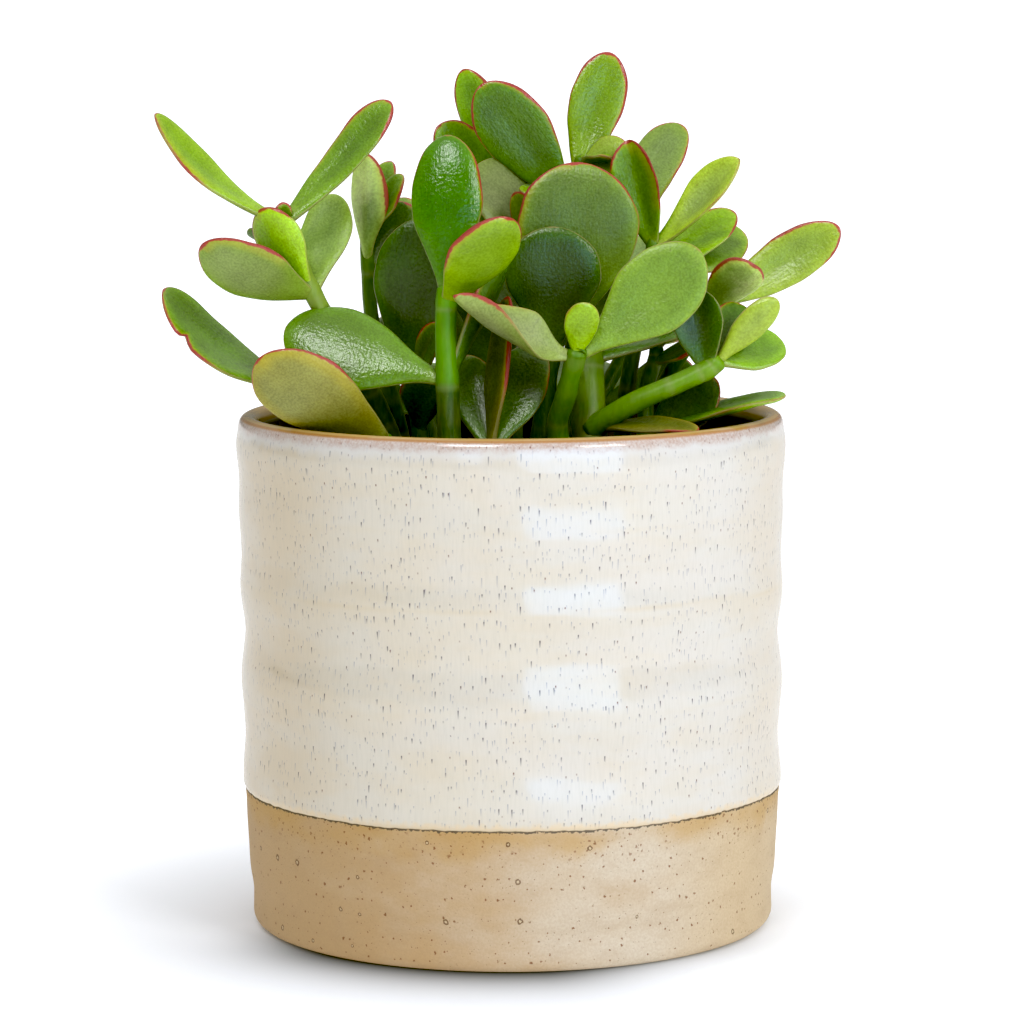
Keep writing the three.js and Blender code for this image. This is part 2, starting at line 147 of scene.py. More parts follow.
def makePiece(name, points, faces, materials, nodes, attributes=None, faceMaterial=None):
    mesh = bpy.data.meshes.new(name)
    mesh.from_pydata((np.asarray(points) * mm).tolist(), [], faces)
    mesh.polygons.foreach_set("use_smooth", np.ones(len(mesh.polygons), dtype=bool))
    for material in materials:
        mesh.materials.append(material)
    if faceMaterial is not None:
        mesh.polygons.foreach_set("material_index", np.asarray(faceMaterial, dtype=np.int32))
    for key, values in (attributes or {}).items():
        values = np.asarray(values, dtype=np.float32)
        width = 1 if values.ndim == 1 else values.shape[1]
        kinds = {1: ("FLOAT", "value"), 3: ("FLOAT_VECTOR", "vector"), 4: ("FLOAT_COLOR", "color")}
        kind, field = kinds[width]
        mesh.attributes.new(key, kind, "POINT").data.foreach_set(field, values.ravel())
    mesh.update()
    piece = bpy.data.objects.new(name, mesh)
    bpy.context.scene.collection.objects.link(piece)
    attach(piece, "root")
    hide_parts(*nodes)
    print("made", name, len(mesh.polygons), "faces")


# The pot: a thrown stoneware cylinder with shallow rings, dipped in cream glaze down to a line
pot = {
    "height": 126.0,
    "segments": 600,
    "outerWall": [
        (64.4, 3), (64.3, 8), (65.1, 14), (65.4, 20), (65.8, 27), (66.0, 32), (66.6, 37.5), (66.0, 48),
        (66.9, 61), (65.8, 73), (66.9, 84), (66.4, 92), (67.1, 103), (66.9, 110), (67.5, 118.5),
        (66.9, 123.4),
    ],
    "footFillet": 3.0,
    "lipRadius": 66.9,
    "lipRise": 2.6,
    "wallAtLip": 4.8,
    "wallAtFloor": 5.2,
    "floorThickness": 7.0,
    "glazeEdge": 34.0,
    "glazeThickness": 0.45,
    "beadWidth": 1.1,
    "glazeInside": 100.0,
    "throwingWobble": 0.14,
    "thinCrests": {61: 0.3, 85.5: 1.0, 104: 0.35},
}
lipBase = pot["height"] - pot["lipRise"]
lipMiddle = pot["lipRadius"] - pot["wallAtLip"] / 2
turn = np.linspace(0, 2 * math.pi, pot["segments"], endpoint=False)
around = np.stack([np.cos(turn), np.sin(turn), np.zeros_like(turn)], axis=1)


def smoothWall(height):
    # a smooth curve through the wall's points, flat where the wall turns back
    radius, level = np.array(pot["outerWall"]).T
    slope = np.gradient(radius, level)
    turnsBack = np.r_[False, np.diff(radius)[:-1] * np.diff(radius)[1:] < 0, False]
    slope[turnsBack] = 0
    height = np.clip(height, level[0], level[-1])
    k = np.clip(np.searchsorted(level, height) - 1, 0, len(level) - 2)
    span = level[k + 1] - level[k]
    t = (height - level[k]) / span
    return (
        (2 * t**3 - 3 * t**2 + 1) * radius[k] + (t**3 - 2 * t**2 + t) * span * slope[k]
        + (3 * t**2 - 2 * t**3) * radius[k + 1] + (t**3 - t**2) * span * slope[k + 1]
    )


slowThrow = waves(11, 7, 30, 70)
fineThrow = waves(12, 9, 9, 22)
edgeSlow = waves(13, 5, 40, 90)
edgeFine = waves(14, 14, 1.6, 5)
glazeLine = pot["glazeEdge"] + 0.35 * edgeSlow(around * 65) + 0.28 * edgeFine(around * 65)


def wallRadius(height):
    # height is a grid: one row for each ring of points, one column for each direction round the pot
    lean = 0.7 * np.sin(turn + 0.8) + 0.35 * np.sin(2 * turn + 2.1)  # the rings aren't quite level
    fade = ease(height, 20, 40) * (1 - ease(height, 112, 121))
    place = np.concatenate([
        np.broadcast_to(around * 66, height.shape + (3,))[..., :2], 2.2 * height[..., None],
    ], axis=-1)
    uneven = pot["throwingWobble"] * (slowThrow(place) + 0.45 * fineThrow(place)) * (0.25 + 0.75 * fade)
    return smoothWall(height + lean * fade) + uneven * (1 - ease(height, 119, 123.4))


def innerRadius(height):
    atLip = pot["lipRadius"] - pot["wallAtLip"]
    atFloor = float(smoothWall(np.array([pot["floorThickness"]]))[0]) - pot["wallAtFloor"]
    return atFloor + (atLip - atFloor) * (height - pot["floorThickness"]) / (lipBase - pot["floorThickness"])


def lipRing(angle, sink):
    # the rounded lip: half a round bead, from outside (0) over the crest to the inside (pi)
    return (
        lipMiddle + (pot["wallAtLip"] / 2 - sink) * math.cos(angle),
        lipBase + (pot["lipRise"] - sink) * math.sin(angle),
    )


def revolve(rows, closedRing):
    # rows of (radius, height) round the pot; a closed ring has no middle, a cup ends at points on the axis
    count = pot["segments"]
    radius = np.array([np.broadcast_to(r, count) for r, _ in rows])
    height = np.array([np.broadcast_to(z, count) for _, z in rows])
    points = np.stack([radius * np.cos(turn), radius * np.sin(turn), height], axis=-1).reshape(-1, 3)
    column = np.arange(count)
    following = (column + 1) % count
    faces = []
    last = len(rows) if closedRing else len(rows) - 1
    for k in range(last):
        low, high = k * count, ((k + 1) % len(rows)) * count
        faces += np.stack([low + column, low + following, high + following, high + column], axis=1).tolist()
    if not closedRing:
        ends = np.array([[0, 0, height[0, 0]], [0, 0, height[-1, 0]]])
        first, final = len(points), len(points) + 1
        top = (len(rows) - 1) * count
        points = np.concatenate([points, ends])
        faces += np.stack([np.full(count, first), following, column], axis=1).tolist()
        faces += np.stack([np.full(count, final), top + column, top + following], axis=1).tolist()
    return points, faces


def glazeCoatRows():
    rows, lipDistance = [], []
    edge = glazeLine
    rise = np.r_[0.0, 0.08, 0.2, 0.4, 0.65, 0.95, 1.4, 2.0, 2.8, 3.8]
    wallTop = 121.6
    climb = np.linspace(0, 1, 78)
    levels = [edge + step for step in rise]
    levels += [edge + 3.8 + (wallTop - edge - 3.8) * share for share in climb[1:]]
    thick = pot["glazeThickness"]
    for level in levels:
        above = level - edge
        bead = np.sqrt(np.clip(1 - (1 - np.clip(above / pot["beadWidth"], 0, 1)) ** 2, 0, 1))
        roll = 0.16 * np.exp(-(((above - 1.6) / 1.3) ** 2))
        rows.append((wallRadius(level) - thick * (1 - bead) + roll * bead, level))
        lipDistance.append(pot["height"] - level)
    for angle in np.linspace(0, math.pi, 15):
        radius, level = lipRing(angle, 0)
        rows.append((radius, level))
        lipDistance.append(max(0.02, (2.6 if angle < 1.57 else -3.2) * (1 - math.sin(angle))))
    for level in np.linspace(lipBase, pot["glazeInside"], 10)[1:]:
        rows.append((innerRadius(level), level))
        lipDistance.append(-(pot["height"] - level))
    buried = 0.9
    for level in np.linspace(pot["glazeInside"], lipBase, 4):
        rows.append((innerRadius(level) + buried, level))
        lipDistance.append(-20)
    for angle in np.linspace(math.pi, 0, 7)[1:]:
        rows.append(lipRing(angle, buried))
        lipDistance.append(-20)
    for share in np.linspace(1, 0, 14)[1:]:
        level = edge + 0.02 + (wallTop - edge - 0.02) * share
        rows.append((wallRadius(level) - buried, level))
        lipDistance.append(-20)
    return rows, lipDistance


def clayBodyRows():
    rows = []
    fillet = pot["footFillet"]
    footRadius = pot["outerWall"][0][0] - fillet
    sink = pot["glazeThickness"]
    for share in (0.3, 0.7, 0.92):
        rows.append((footRadius * share, 0.0))
    for angle in np.linspace(0, math.pi / 2, 7):
        rows.append((footRadius + fillet * math.sin(angle), fillet * (1 - math.cos(angle))))
    edge = glazeLine
    for share in np.linspace(0, 1, 30)[1:]:
        level = fillet + (edge - 1.2 - fillet) * share
        rows.append((wallRadius(level), level))
    for below in (0.8, 0.45, 0.2, 0.05):
        rows.append((wallRadius(edge - below) - 0.25 * sink * (1 - below), edge - below))
    for above in (0.3, 1.0):
        rows.append((wallRadius(edge + above) - sink, edge + above))
    for share in np.linspace(0, 1, 50)[1:]:
        level = edge + 1.0 + (lipBase - 2 - edge - 1.0) * share
        rows.append((wallRadius(level) - sink, level))
    for angle in np.linspace(0, math.pi, 7):
        rows.append(lipRing(angle, sink))
    for level in (110.0, 90.0, 50.0, 20.0):
        rows.append((innerRadius(level) + sink, level))
    rows.append((innerRadius(pot["floorThickness"]), pot["floorThickness"]))
    rows.append((30.0, pot["floorThickness"]))
    return rows


def heightAboveGlazeLine(points):
    column = np.rint(np.arctan2(points[:, 1], points[:, 0]) / (2 * math.pi) * pot["segments"]).astype(int)
    return points[:, 2] - glazeLine[column % pot["segments"]]


def speckles(tree, coords, width, stretch, spacing, softness):
    # fine round specks: width and spacing in mm, stretch is how many times longer than wide they are
    dense = 1 / mm / spacing
    place = addNode(tree, "Mapping", {"Vector": coords, "Scale": (dense, dense, dense / stretch)})
    distance = addNode(tree, "TexVoronoi", {"Vector": place, "Scale": 1.0}, "Distance")
    radius = width / 2 / spacing
    return where(tree, (distance, radius, radius * (1 - softness)))


def blotches(tree, coords, size, flatten=1.0, detail=3.0, low=0.4, high=0.6):
    # soft patches about size mm across, where a noise rises from low to high
    dense = 1 / mm / size
    place = addNode(tree, "Mapping", {"Vector": coords, "Scale": (dense, dense, dense / flatten)})
    noise = addNode(tree, "TexNoise", {"Vector": place, "Scale": 1.0, "Detail": detail, "Roughness": 0.55})
    return where(tree, (noise, low, high))


def litSideShare(tree, coords):
    # painted light: 0 on the pot's left, which is painted darker as in shade, 1 on its front right, painted
    # paler where the key light and its sheen fall, with an uneven border
    along = addNode(tree, "VectorMath", {
        "operation": "DOT_PRODUCT", 0: coords, 1: (15.0, -4.0, 0.0),
    }, "Value")
    wander = total(tree, along, (blotches(tree, coords, 24, 0.6, 4, 0.2, 0.8), 0.8))
    return where(tree, (wander, -0.1, 1.5))


def unrolled(tree, coords):
    # the wall laid out flat, in metres: x runs round the pot from its front, y up it
    split = addNode(tree, "SeparateXYZ", {0: coords}).node.outputs
    towardFront = where(tree, split["Y"], -1.0)
    angle = addNode(tree, "Math", {"operation": "ARCTAN2", 0: split["X"], 1: towardFront})
    return addNode(tree, "CombineXYZ", {0: where(tree, angle, pot["lipRadius"] * mm), 1: split["Z"]})


def scatter(tree, sheet, across, up, shift):
    # one random spot in each cell of the unrolled wall: the way from it in mm, and its three random shares
    place = addNode(tree, "Mapping", {
        "Vector": sheet, "Location": (shift, shift, 0), "Scale": (1 / mm / across, 1 / mm / up, 1),
    })
    cells = addNode(tree, "TexVoronoi", {
        "voronoi_dimensions": "2D", "Vector": place, "Scale": 1.0,
    }).node.outputs
    away = addNode(tree, "VectorMath", {"operation": "SUBTRACT", 0: place, 1: cells["Position"]})
    away = addNode(tree, "VectorMath", {"operation": "MULTIPLY", 0: away, 1: (across, up, 0)})
    return away, addNode(tree, "SeparateColor", {"Color": cells["Color"]}).node.outputs


def drips(tree, sheet, crowd, across, up, shift, width, longest, share):
    # specks that the running glaze drew out: a dark head, and a tail that fades on its way down
    away, luck = scatter(tree, sheet, across, up, shift)
    split = addNode(tree, "SeparateXYZ", {0: away}).node.outputs
    sideways = addNode(tree, "Math", {"operation": "ABSOLUTE", 0: split["X"]})
    tailLength = addNode(tree, "MapRange", {
        "Value": where(tree, luck["Red"], luck["Blue"]), "To Min": -0.3, "To Max": -longest,
    })
    tail = addNode(tree, "MapRange", {"Value": split["Y"], "From Min": tailLength, "From Max": 0.0})
    there = (total(tree, luck["Green"], (crowd, 0.45)), share + 0.03, share)
    strength = addNode(tree, "MapRange", {"Value": luck["Blue"], "To Min": 0.35})
    slim, head = (sideways, width * 0.55, width * 0.15), (split["Y"], width * 0.8, width * 0.2)
    return where(tree, slim, tail, head, there, strength), luck


def spots(tree, sheet, ragged, across, shift, smallest, largest, share):
    # round-ish spots of their own random radius in mm: how far out each point lies in shares of that radius,
    # and whether its cell has a spot
    away, luck = scatter(tree, sheet, across, across, shift)
    distance = addNode(tree, "VectorMath", {"operation": "LENGTH", 0: away}, "Value")
    radius = addNode(tree, "MapRange", {
        "Value": where(tree, luck["Red"], luck["Red"]), "To Min": smallest, "To Max": largest,
    })
    outward = addNode(tree, "Math", {"operation": "DIVIDE", 0: distance, 1: radius})
    return total(tree, outward, ragged), where(tree, (luck["Green"], share + 0.02, share))


# Stoneware glaze, dipped and fired: a glassy cream coat, whiter where it pooled thick and tan where it
# broke thin over the lip, with iron and cobalt specks drawn out downwards as it ran. Its colour also holds
# painted light and shade: paler on the front right where the key light falls, darker towards the left and
# right edges, and darker down inside the pot.
glazeLook = {
    # cream and white are painted light: cream on the pot's left, white where the key light falls on its front
    # right
    "cream": "#E0D8C8",
    "white": "#E0DEDA",
    # side is painted shade towards the pot's left and right edges, over the two spans below, in mm across
    "side": "#DACBB2",
    "leftShadeSpan": (-36, -56),
    "rightShadeSpan": (50, 67),
    "warm": "#DBCDB2",
    "cool": "#DDE0DE",
    "fibre": "#A9AAA2",
    "crest": "#C8A468",
    "breakLine": "#B27A34",
    "breakBlush": "#C2A79C",
    "underBlush": "#E4E6EA",
    # the two inside colours below are painted shade, darker deeper down inside the pot
    "insideShadeDeep": "#3C3226",
    "inside": "#B9AD98",
    "border": "#E9D3AE",
    "lastRim": "#C9AE84",
    "speckDark": "#2A1C44",
    "speckBlue": "#5F6A92",
    "speckRust": "#66281C",
    "blueDrips": {"across": 1.2, "up": 3.4, "shift": 3.7, "width": 0.34, "longest": 3.4, "share": 0.8},
    "darkDrips": {"across": 2.5, "up": 3.9, "shift": 0.0, "width": 0.44, "longest": 2.6, "share": 0.75},
    "redDrips": {"across": 1.6, "up": 2.2, "shift": 9.1, "width": 0.45, "longest": 0.8, "share": 0.9},
    "ripple": 0.04,
    "roughness": 0.12,
    "ior": 1.5,
}


def glazedStoneware():
    look = glazeLook
    material, tree, shader = newMaterial("glazed stoneware, cream speckled")
    coords = addNode(tree, "TexCoord", None, "Object")
    sheet = unrolled(tree, coords)
    fromLip, aboveEdge, thin = pointValues(tree, "fromLip", "aboveEdge", "thin")
    # painted light: cream on the left, paler white on the front right where the key light falls
    base = coat(tree, look["cream"], look["white"], litSideShare(tree, coords))
    # painted shade: the glaze darkens towards the pot's left and right edges
    sideways = addNode(tree, "SeparateXYZ", {0: coords}, "X")
    for side, strength in (("leftShadeSpan", 0.85), ("rightShadeSpan", 0.6)):
        start, full = look[side]
        base = coat(tree, base, look["side"], (sideways, start * mm, full * mm), strength)
    base = coat(tree, base, look["cool"], blotches(tree, coords, 24, 0.4, 4), 0.22)
    base = coat(tree, base, look["warm"], blotches(tree, coords, 30, 0.28, 4, 0.45, 0.65), 0.2)
    base = coat(tree, base, look["warm"], thin, 0.75)
    # the runs in the glaze are about half a millimetre wide
    base = coat(tree, base, look["fibre"], blotches(tree, coords, 0.5, 12.0, 2, 0.35, 0.75), 0.1)
    crowd = blotches(tree, coords, 14, 1.0, 3, 0.35, 0.65)
    faint, _ = drips(tree, sheet, crowd, **look["blueDrips"])
    base = coat(tree, base, look["speckBlue"], faint, 0.55)
    dark, luck = drips(tree, sheet, crowd, **look["darkDrips"])
    ink = coat(tree, look["speckRust"], look["speckDark"], (luck["Red"], 0.15, 0.25))
    base = coat(tree, base, ink, dark, 0.95)
    uneven = total(tree, fromLip, (blotches(tree, coords, 4, 1, 4, 0.2, 0.8), 1.3))
    blush = where(tree, (uneven, 0.5, 1.3), (uneven, 4.6, 2.0))
    granular = total(tree, 0.45, (blotches(tree, coords, 0.6, 1, 2, 0.3, 0.7), 0.5))
    base = coat(tree, base, look["underBlush"], (uneven, 7.0, 3.5), 0.6)
    base = coat(tree, base, look["breakBlush"], blush, granular)
    redFlecks, _ = drips(tree, sheet, crowd, **look["redDrips"])
    base = coat(tree, base, look["speckRust"], redFlecks, blush, 0.8)
    base = coat(tree, base, look["breakLine"], (fromLip, 1.25, 0.7), 0.9)
    base = coat(tree, base, look["crest"], (fromLip, 0.5, 0.25))
    # painted shade: the glaze darkens inside the pot, most of all deep down
    base = coat(tree, base, look["inside"], (fromLip, -0.5, -1.6), 0.95)
    base = coat(tree, base, look["insideShadeDeep"], (fromLip, -0.7, -3.2), 0.95)
    scallops = total(tree, aboveEdge, (blotches(tree, coords, 2.2, 1, 3, 0.2, 0.8), 1.4))
    base = coat(tree, base, look["border"], (scallops, 3.0, 1.2), 0.7)
    base = coat(tree, base, look["lastRim"], (aboveEdge, 0.4, 0.1), 0.6)
    ripple = blotches(tree, coords, 2.6, 2.5, 3, 0.2, 0.8)
    setNode(shader, {
        "Base Color": base, "Roughness": look["roughness"], "IOR": look["ior"],
        "Normal": addNode(tree, "Bump", {"Height": ripple, "Strength": 0.2, "Distance": look["ripple"] * mm}),
    })
    return material


# Bare stoneware clay, unglazed and fired: sandy buff and matt, with a toasted band under the glaze line,
# iron specks that bled rust brown, and pits where grit fell out. Its colour also holds painted light and
# shade: paler on the front right where the key light falls, darker towards the right edge, and a dark line
# under the glaze's edge that is partly painted shade.
clayLook = {
    # sand and pale are painted light: sand on the pot's left, pale where the key light falls on its front
    # right
    "sand": "#C0A075",
    "pale": "#D8CDBB",
    # side is painted shade towards the pot's right edge, over the span below, in mm across
    "side": "#D3BE9C",
    "rightShadeSpan": (30, 58),
    "shade": "#B0916C",
    "toasted": "#BE9448",
    "rust": "#7C4416",
    "pit": "#64401E",
    "pitFloor": "#DCCCA8",
    "pepper": "#80603C",
    # line is a dark line just under the glaze's edge: partly the clay's own dark edge, partly painted shade
    # where the glaze overhangs
    "line": "#3E342C",
    "flecks": {"across": 2.6, "shift": 1.3, "smallest": 0.16, "largest": 0.5, "share": 0.5},
    "clusters": {"across": 1.7, "shift": 5.9, "smallest": 0.2, "largest": 0.6, "share": 0.6},
    "pits": {"across": 9.0, "shift": 7.7, "smallest": 0.4, "largest": 0.75, "share": 0.17},
    "relief": 0.2,
    "roughness": 0.62,
}


def bareStoneware():
    look = clayLook
    material, tree, shader = newMaterial("bare stoneware clay, sandy buff")
    coords = addNode(tree, "TexCoord", None, "Object")
    sheet = unrolled(tree, coords)
    aboveEdge, = pointValues(tree, "aboveEdge")
    split = addNode(tree, "SeparateXYZ", {0: coords}).node.outputs
    # painted light: sandy on the left, paler on the front right where the key light falls
    base = coat(tree, look["sand"], look["pale"], litSideShare(tree, coords))
    # painted shade: the clay darkens towards the pot's right edge
    start, full = look["rightShadeSpan"]
    base = coat(tree, base, look["side"], (split["X"], start * mm, full * mm))
    base = coat(tree, base, look["shade"], blotches(tree, coords, 12, 0.5, 5, 0.45, 0.7), 0.22)
    grain = blotches(tree, coords, 0.55, 1, 2, 0.35, 0.65)  # sand grains of about half a millimetre
    base = coat(tree, base, look["shade"], grain, 0.2)
    uneven = total(tree, aboveEdge, (blotches(tree, coords, 9, 1, 4, 0.2, 0.8), -5.0))
    patchy = blotches(tree, coords, 40, 0.4, 2, 0.3, 0.55)
    base = coat(tree, base, look["toasted"], (uneven, -11.0, -3.0), patchy, 0.6)
    base = coat(tree, base, look["pepper"], speckles(tree, coords, 0.32, 1.0, 1.1, 0.6), 0.6)
    ragged = blotches(tree, coords, 0.5, 1, 2, 0.3, 0.7)
    onWall = (split["Z"], 0.2 * mm, 2 * mm)
    fleck, there = spots(tree, sheet, (ragged, 0.9), **look["flecks"])
    fleck = where(tree, (fleck, 1.3, 0.8), there, onWall)
    base = coat(tree, base, look["rust"], fleck, 0.85)
    cluster, there = spots(tree, sheet, (ragged, 0.9), **look["clusters"])
    someway = blotches(tree, coords, 16, 1, 3, 0.4, 0.6)
    base = coat(tree, base, look["rust"], (cluster, 1.3, 0.8), there, (aboveEdge, -9.0, -5.0), someway, 0.85)
    ring, there = spots(tree, sheet, (ragged, 0.36), **look["pits"])
    base = coat(tree, base, look["pitFloor"], (ring, 0.8, 0.6), there, onWall, 0.5)
    pit = where(tree, (ring, 1.35, 1.1), (ring, 0.55, 0.85), there, onWall)
    base = coat(tree, base, look["pit"], pit, 0.85)
    # a dark line just under the glaze's edge: partly the clay's own colour, partly painted shade under the
    # glaze's overhang
    jitter = total(tree, aboveEdge, (blotches(tree, coords, 0.8, 1, 2, 0.2, 0.8), 0.7))
    base = coat(tree, base, look["line"], (jitter, 0.0, 0.2), (jitter, 1.6, 1.1), 0.85)
    height = total(tree, 0.0, (grain, 0.3), (pit, -1.0), (fleck, -1.0))
    setNode(shader, {
        "Base Color": base, "Roughness": look["roughness"],
        "Normal": addNode(tree, "Bump", {"Height": height, "Strength": 0.5, "Distance": look["relief"] * mm}),
    })
    return material


glazeRows, lipDistance = glazeCoatRows()
glazePoints, glazeFaces = revolve(glazeRows, True)
lipDistance = np.concatenate([np.broadcast_to(distance, pot["segments"]) for distance in lipDistance])
# the glaze is thinnest just above the crests of the throwing rings, most of all on the middle one
lineWobble = waves(15, 6, 30, 80)
thinLine = np.zeros(len(glazePoints))
for crest, strength in pot["thinCrests"].items():
    above = glazePoints[:, 2] - crest - 0.9 * lineWobble(glazePoints * (1, 1, 0.05))
    thinLine += strength * (0.7 * np.exp(-((above / 0.45) ** 2)) + 0.3 * np.exp(-(((above + 2) / 3.0) ** 2)))
fadeRound = 0.55 + 0.3 * np.abs(glazePoints[:, 0]) / 66 + 0.3 * waves(16, 5, 30, 60)(glazePoints)
makePiece(
    "pot_glaze_coat", glazePoints, glazeFaces, [glazedStoneware()], ["pot"],
    {
        "fromLip": lipDistance,
        "aboveEdge": heightAboveGlazeLine(glazePoints),
        "thin": np.clip(thinLine * fadeRound, 0, 1),
    },
)
clayPoints, clayFaces = revolve(clayBodyRows(), False)
makePiece(
    "pot_clay_body", clayPoints, clayFaces, [bareStoneware()], ["pot"],
    {"aboveEdge": heightAboveGlazeLine(clayPoints)},
)


# The plant: thick egg-shaped blades on short stalks, in crossed pairs on fleshy jointed stems
blade = {
    "rings": 34,
    "sides": 28,
    "stalkHalfWidth": 0.7,
    "stalkPerWidth": 0.055,
    "stalkHalfThickness": 1.15,
    "tipHalfThickness": 0.45,
    "halfThickness": 0.65,
    "thicknessPerWidth": 0.03,
    "widestAt": 0.62,
    "midrib": 0.22,
    "unevenness": 0.2,
    "edgeWave": 0.35,
    "stalkColour": "#A9B45C",
}
stem = {
    "sides": 20,
    "ringSpacing": 1.1,
    "swelling": 0.1,
    "swellingLength": 3.0,
    "crown": 0.6,
}
# What each leaf looks like: upper is its broad middle, where the wax bloom greys it, lively its margin and
# its stalk end, under its underside. waxy is how matt the bloom makes it, from a wet gloss at 0 to frosted
# at 1.
skins = {
    "fresh": {"upper": "#7DA81C", "lively": "#93BC22", "under": "#86AC30", "waxy": 0.3},
    "mid": {"upper": "#5F8C1C", "lively": "#7FAE1E", "under": "#76983A", "waxy": 0.35},
    "glossy": {"upper": "#3F7E06", "lively": "#569408", "under": "#7C9C3C", "waxy": 0.0},
    "deep": {"upper": "#2F5210", "lively": "#4F7A14", "under": "#3E5E18", "waxy": 0.25},
    "dusk": {"upper": "#4B7020", "lively": "#5F9008", "under": "#5E8034", "waxy": 0.5},
    "sage": {"upper": "#5F7E2C", "lively": "#7FA424", "under": "#788F40", "waxy": 0.7},
    "grey": {"upper": "#78954A", "lively": "#86A63A", "under": "#869A58", "waxy": 0.85},
    "silver": {"upper": "#98A470", "lively": "#9AB058", "under": "#9CA674", "waxy": 0.9},
    "olive": {"upper": "#6E822E", "lively": "#A29A34", "under": "#8C9050", "waxy": 0.8},
    "pale": {"upper": "#9CBC48", "lively": "#B2D040", "under": "#A8C454", "waxy": 0.5},
    "sheen": {"upper": "#5C8024", "lively": "#6E9A2E", "under": "#7C9C3C", "waxy": 0.0},
    "dark": {"upper": "#1F3C06", "lively": "#3C6608", "under": "#2C480C", "waxy": 0.4},
    "meadow": {"upper": "#64882A", "lively": "#82A82C", "under": "#76983A", "waxy": 0.7},
    "frost": {"upper": "#9AB65C", "lively": "#B8D640", "under": "#9CA674", "waxy": 0.6},
}


def leaf(at, tip, width, face, arch=0.0, fold=0.8, turn=0.0, widest=blade["widestAt"], **look):
    # at is the stem point that it grows from; face is where its upper side looks; arch is how far its middle
    # bulges that way, fold how far its edges lift, turn its twist in degrees at the tip. In its look, rim is
    # the red margin's width and glow the yellow one's inside it; red is where its redder margin looks, tone
    # how light it is, full how early it broadens, from 1.4 down to 0.4; sway is how far its middle lies off
    # its straight line, in mm; nick is a dent: where, which side, how deep.
    return {
        "at": at, "tip": tip, "width": width, "face": face, "arch": arch, "fold": fold, "turn": turn,
        "widest": widest, "skin": "mid", "rim": 0.4, "glow": 0.6, "nick": None,
        "red": None, "tone": 1.0, "full": 0.8, "sway": (0, 0, 0), **look,
    }


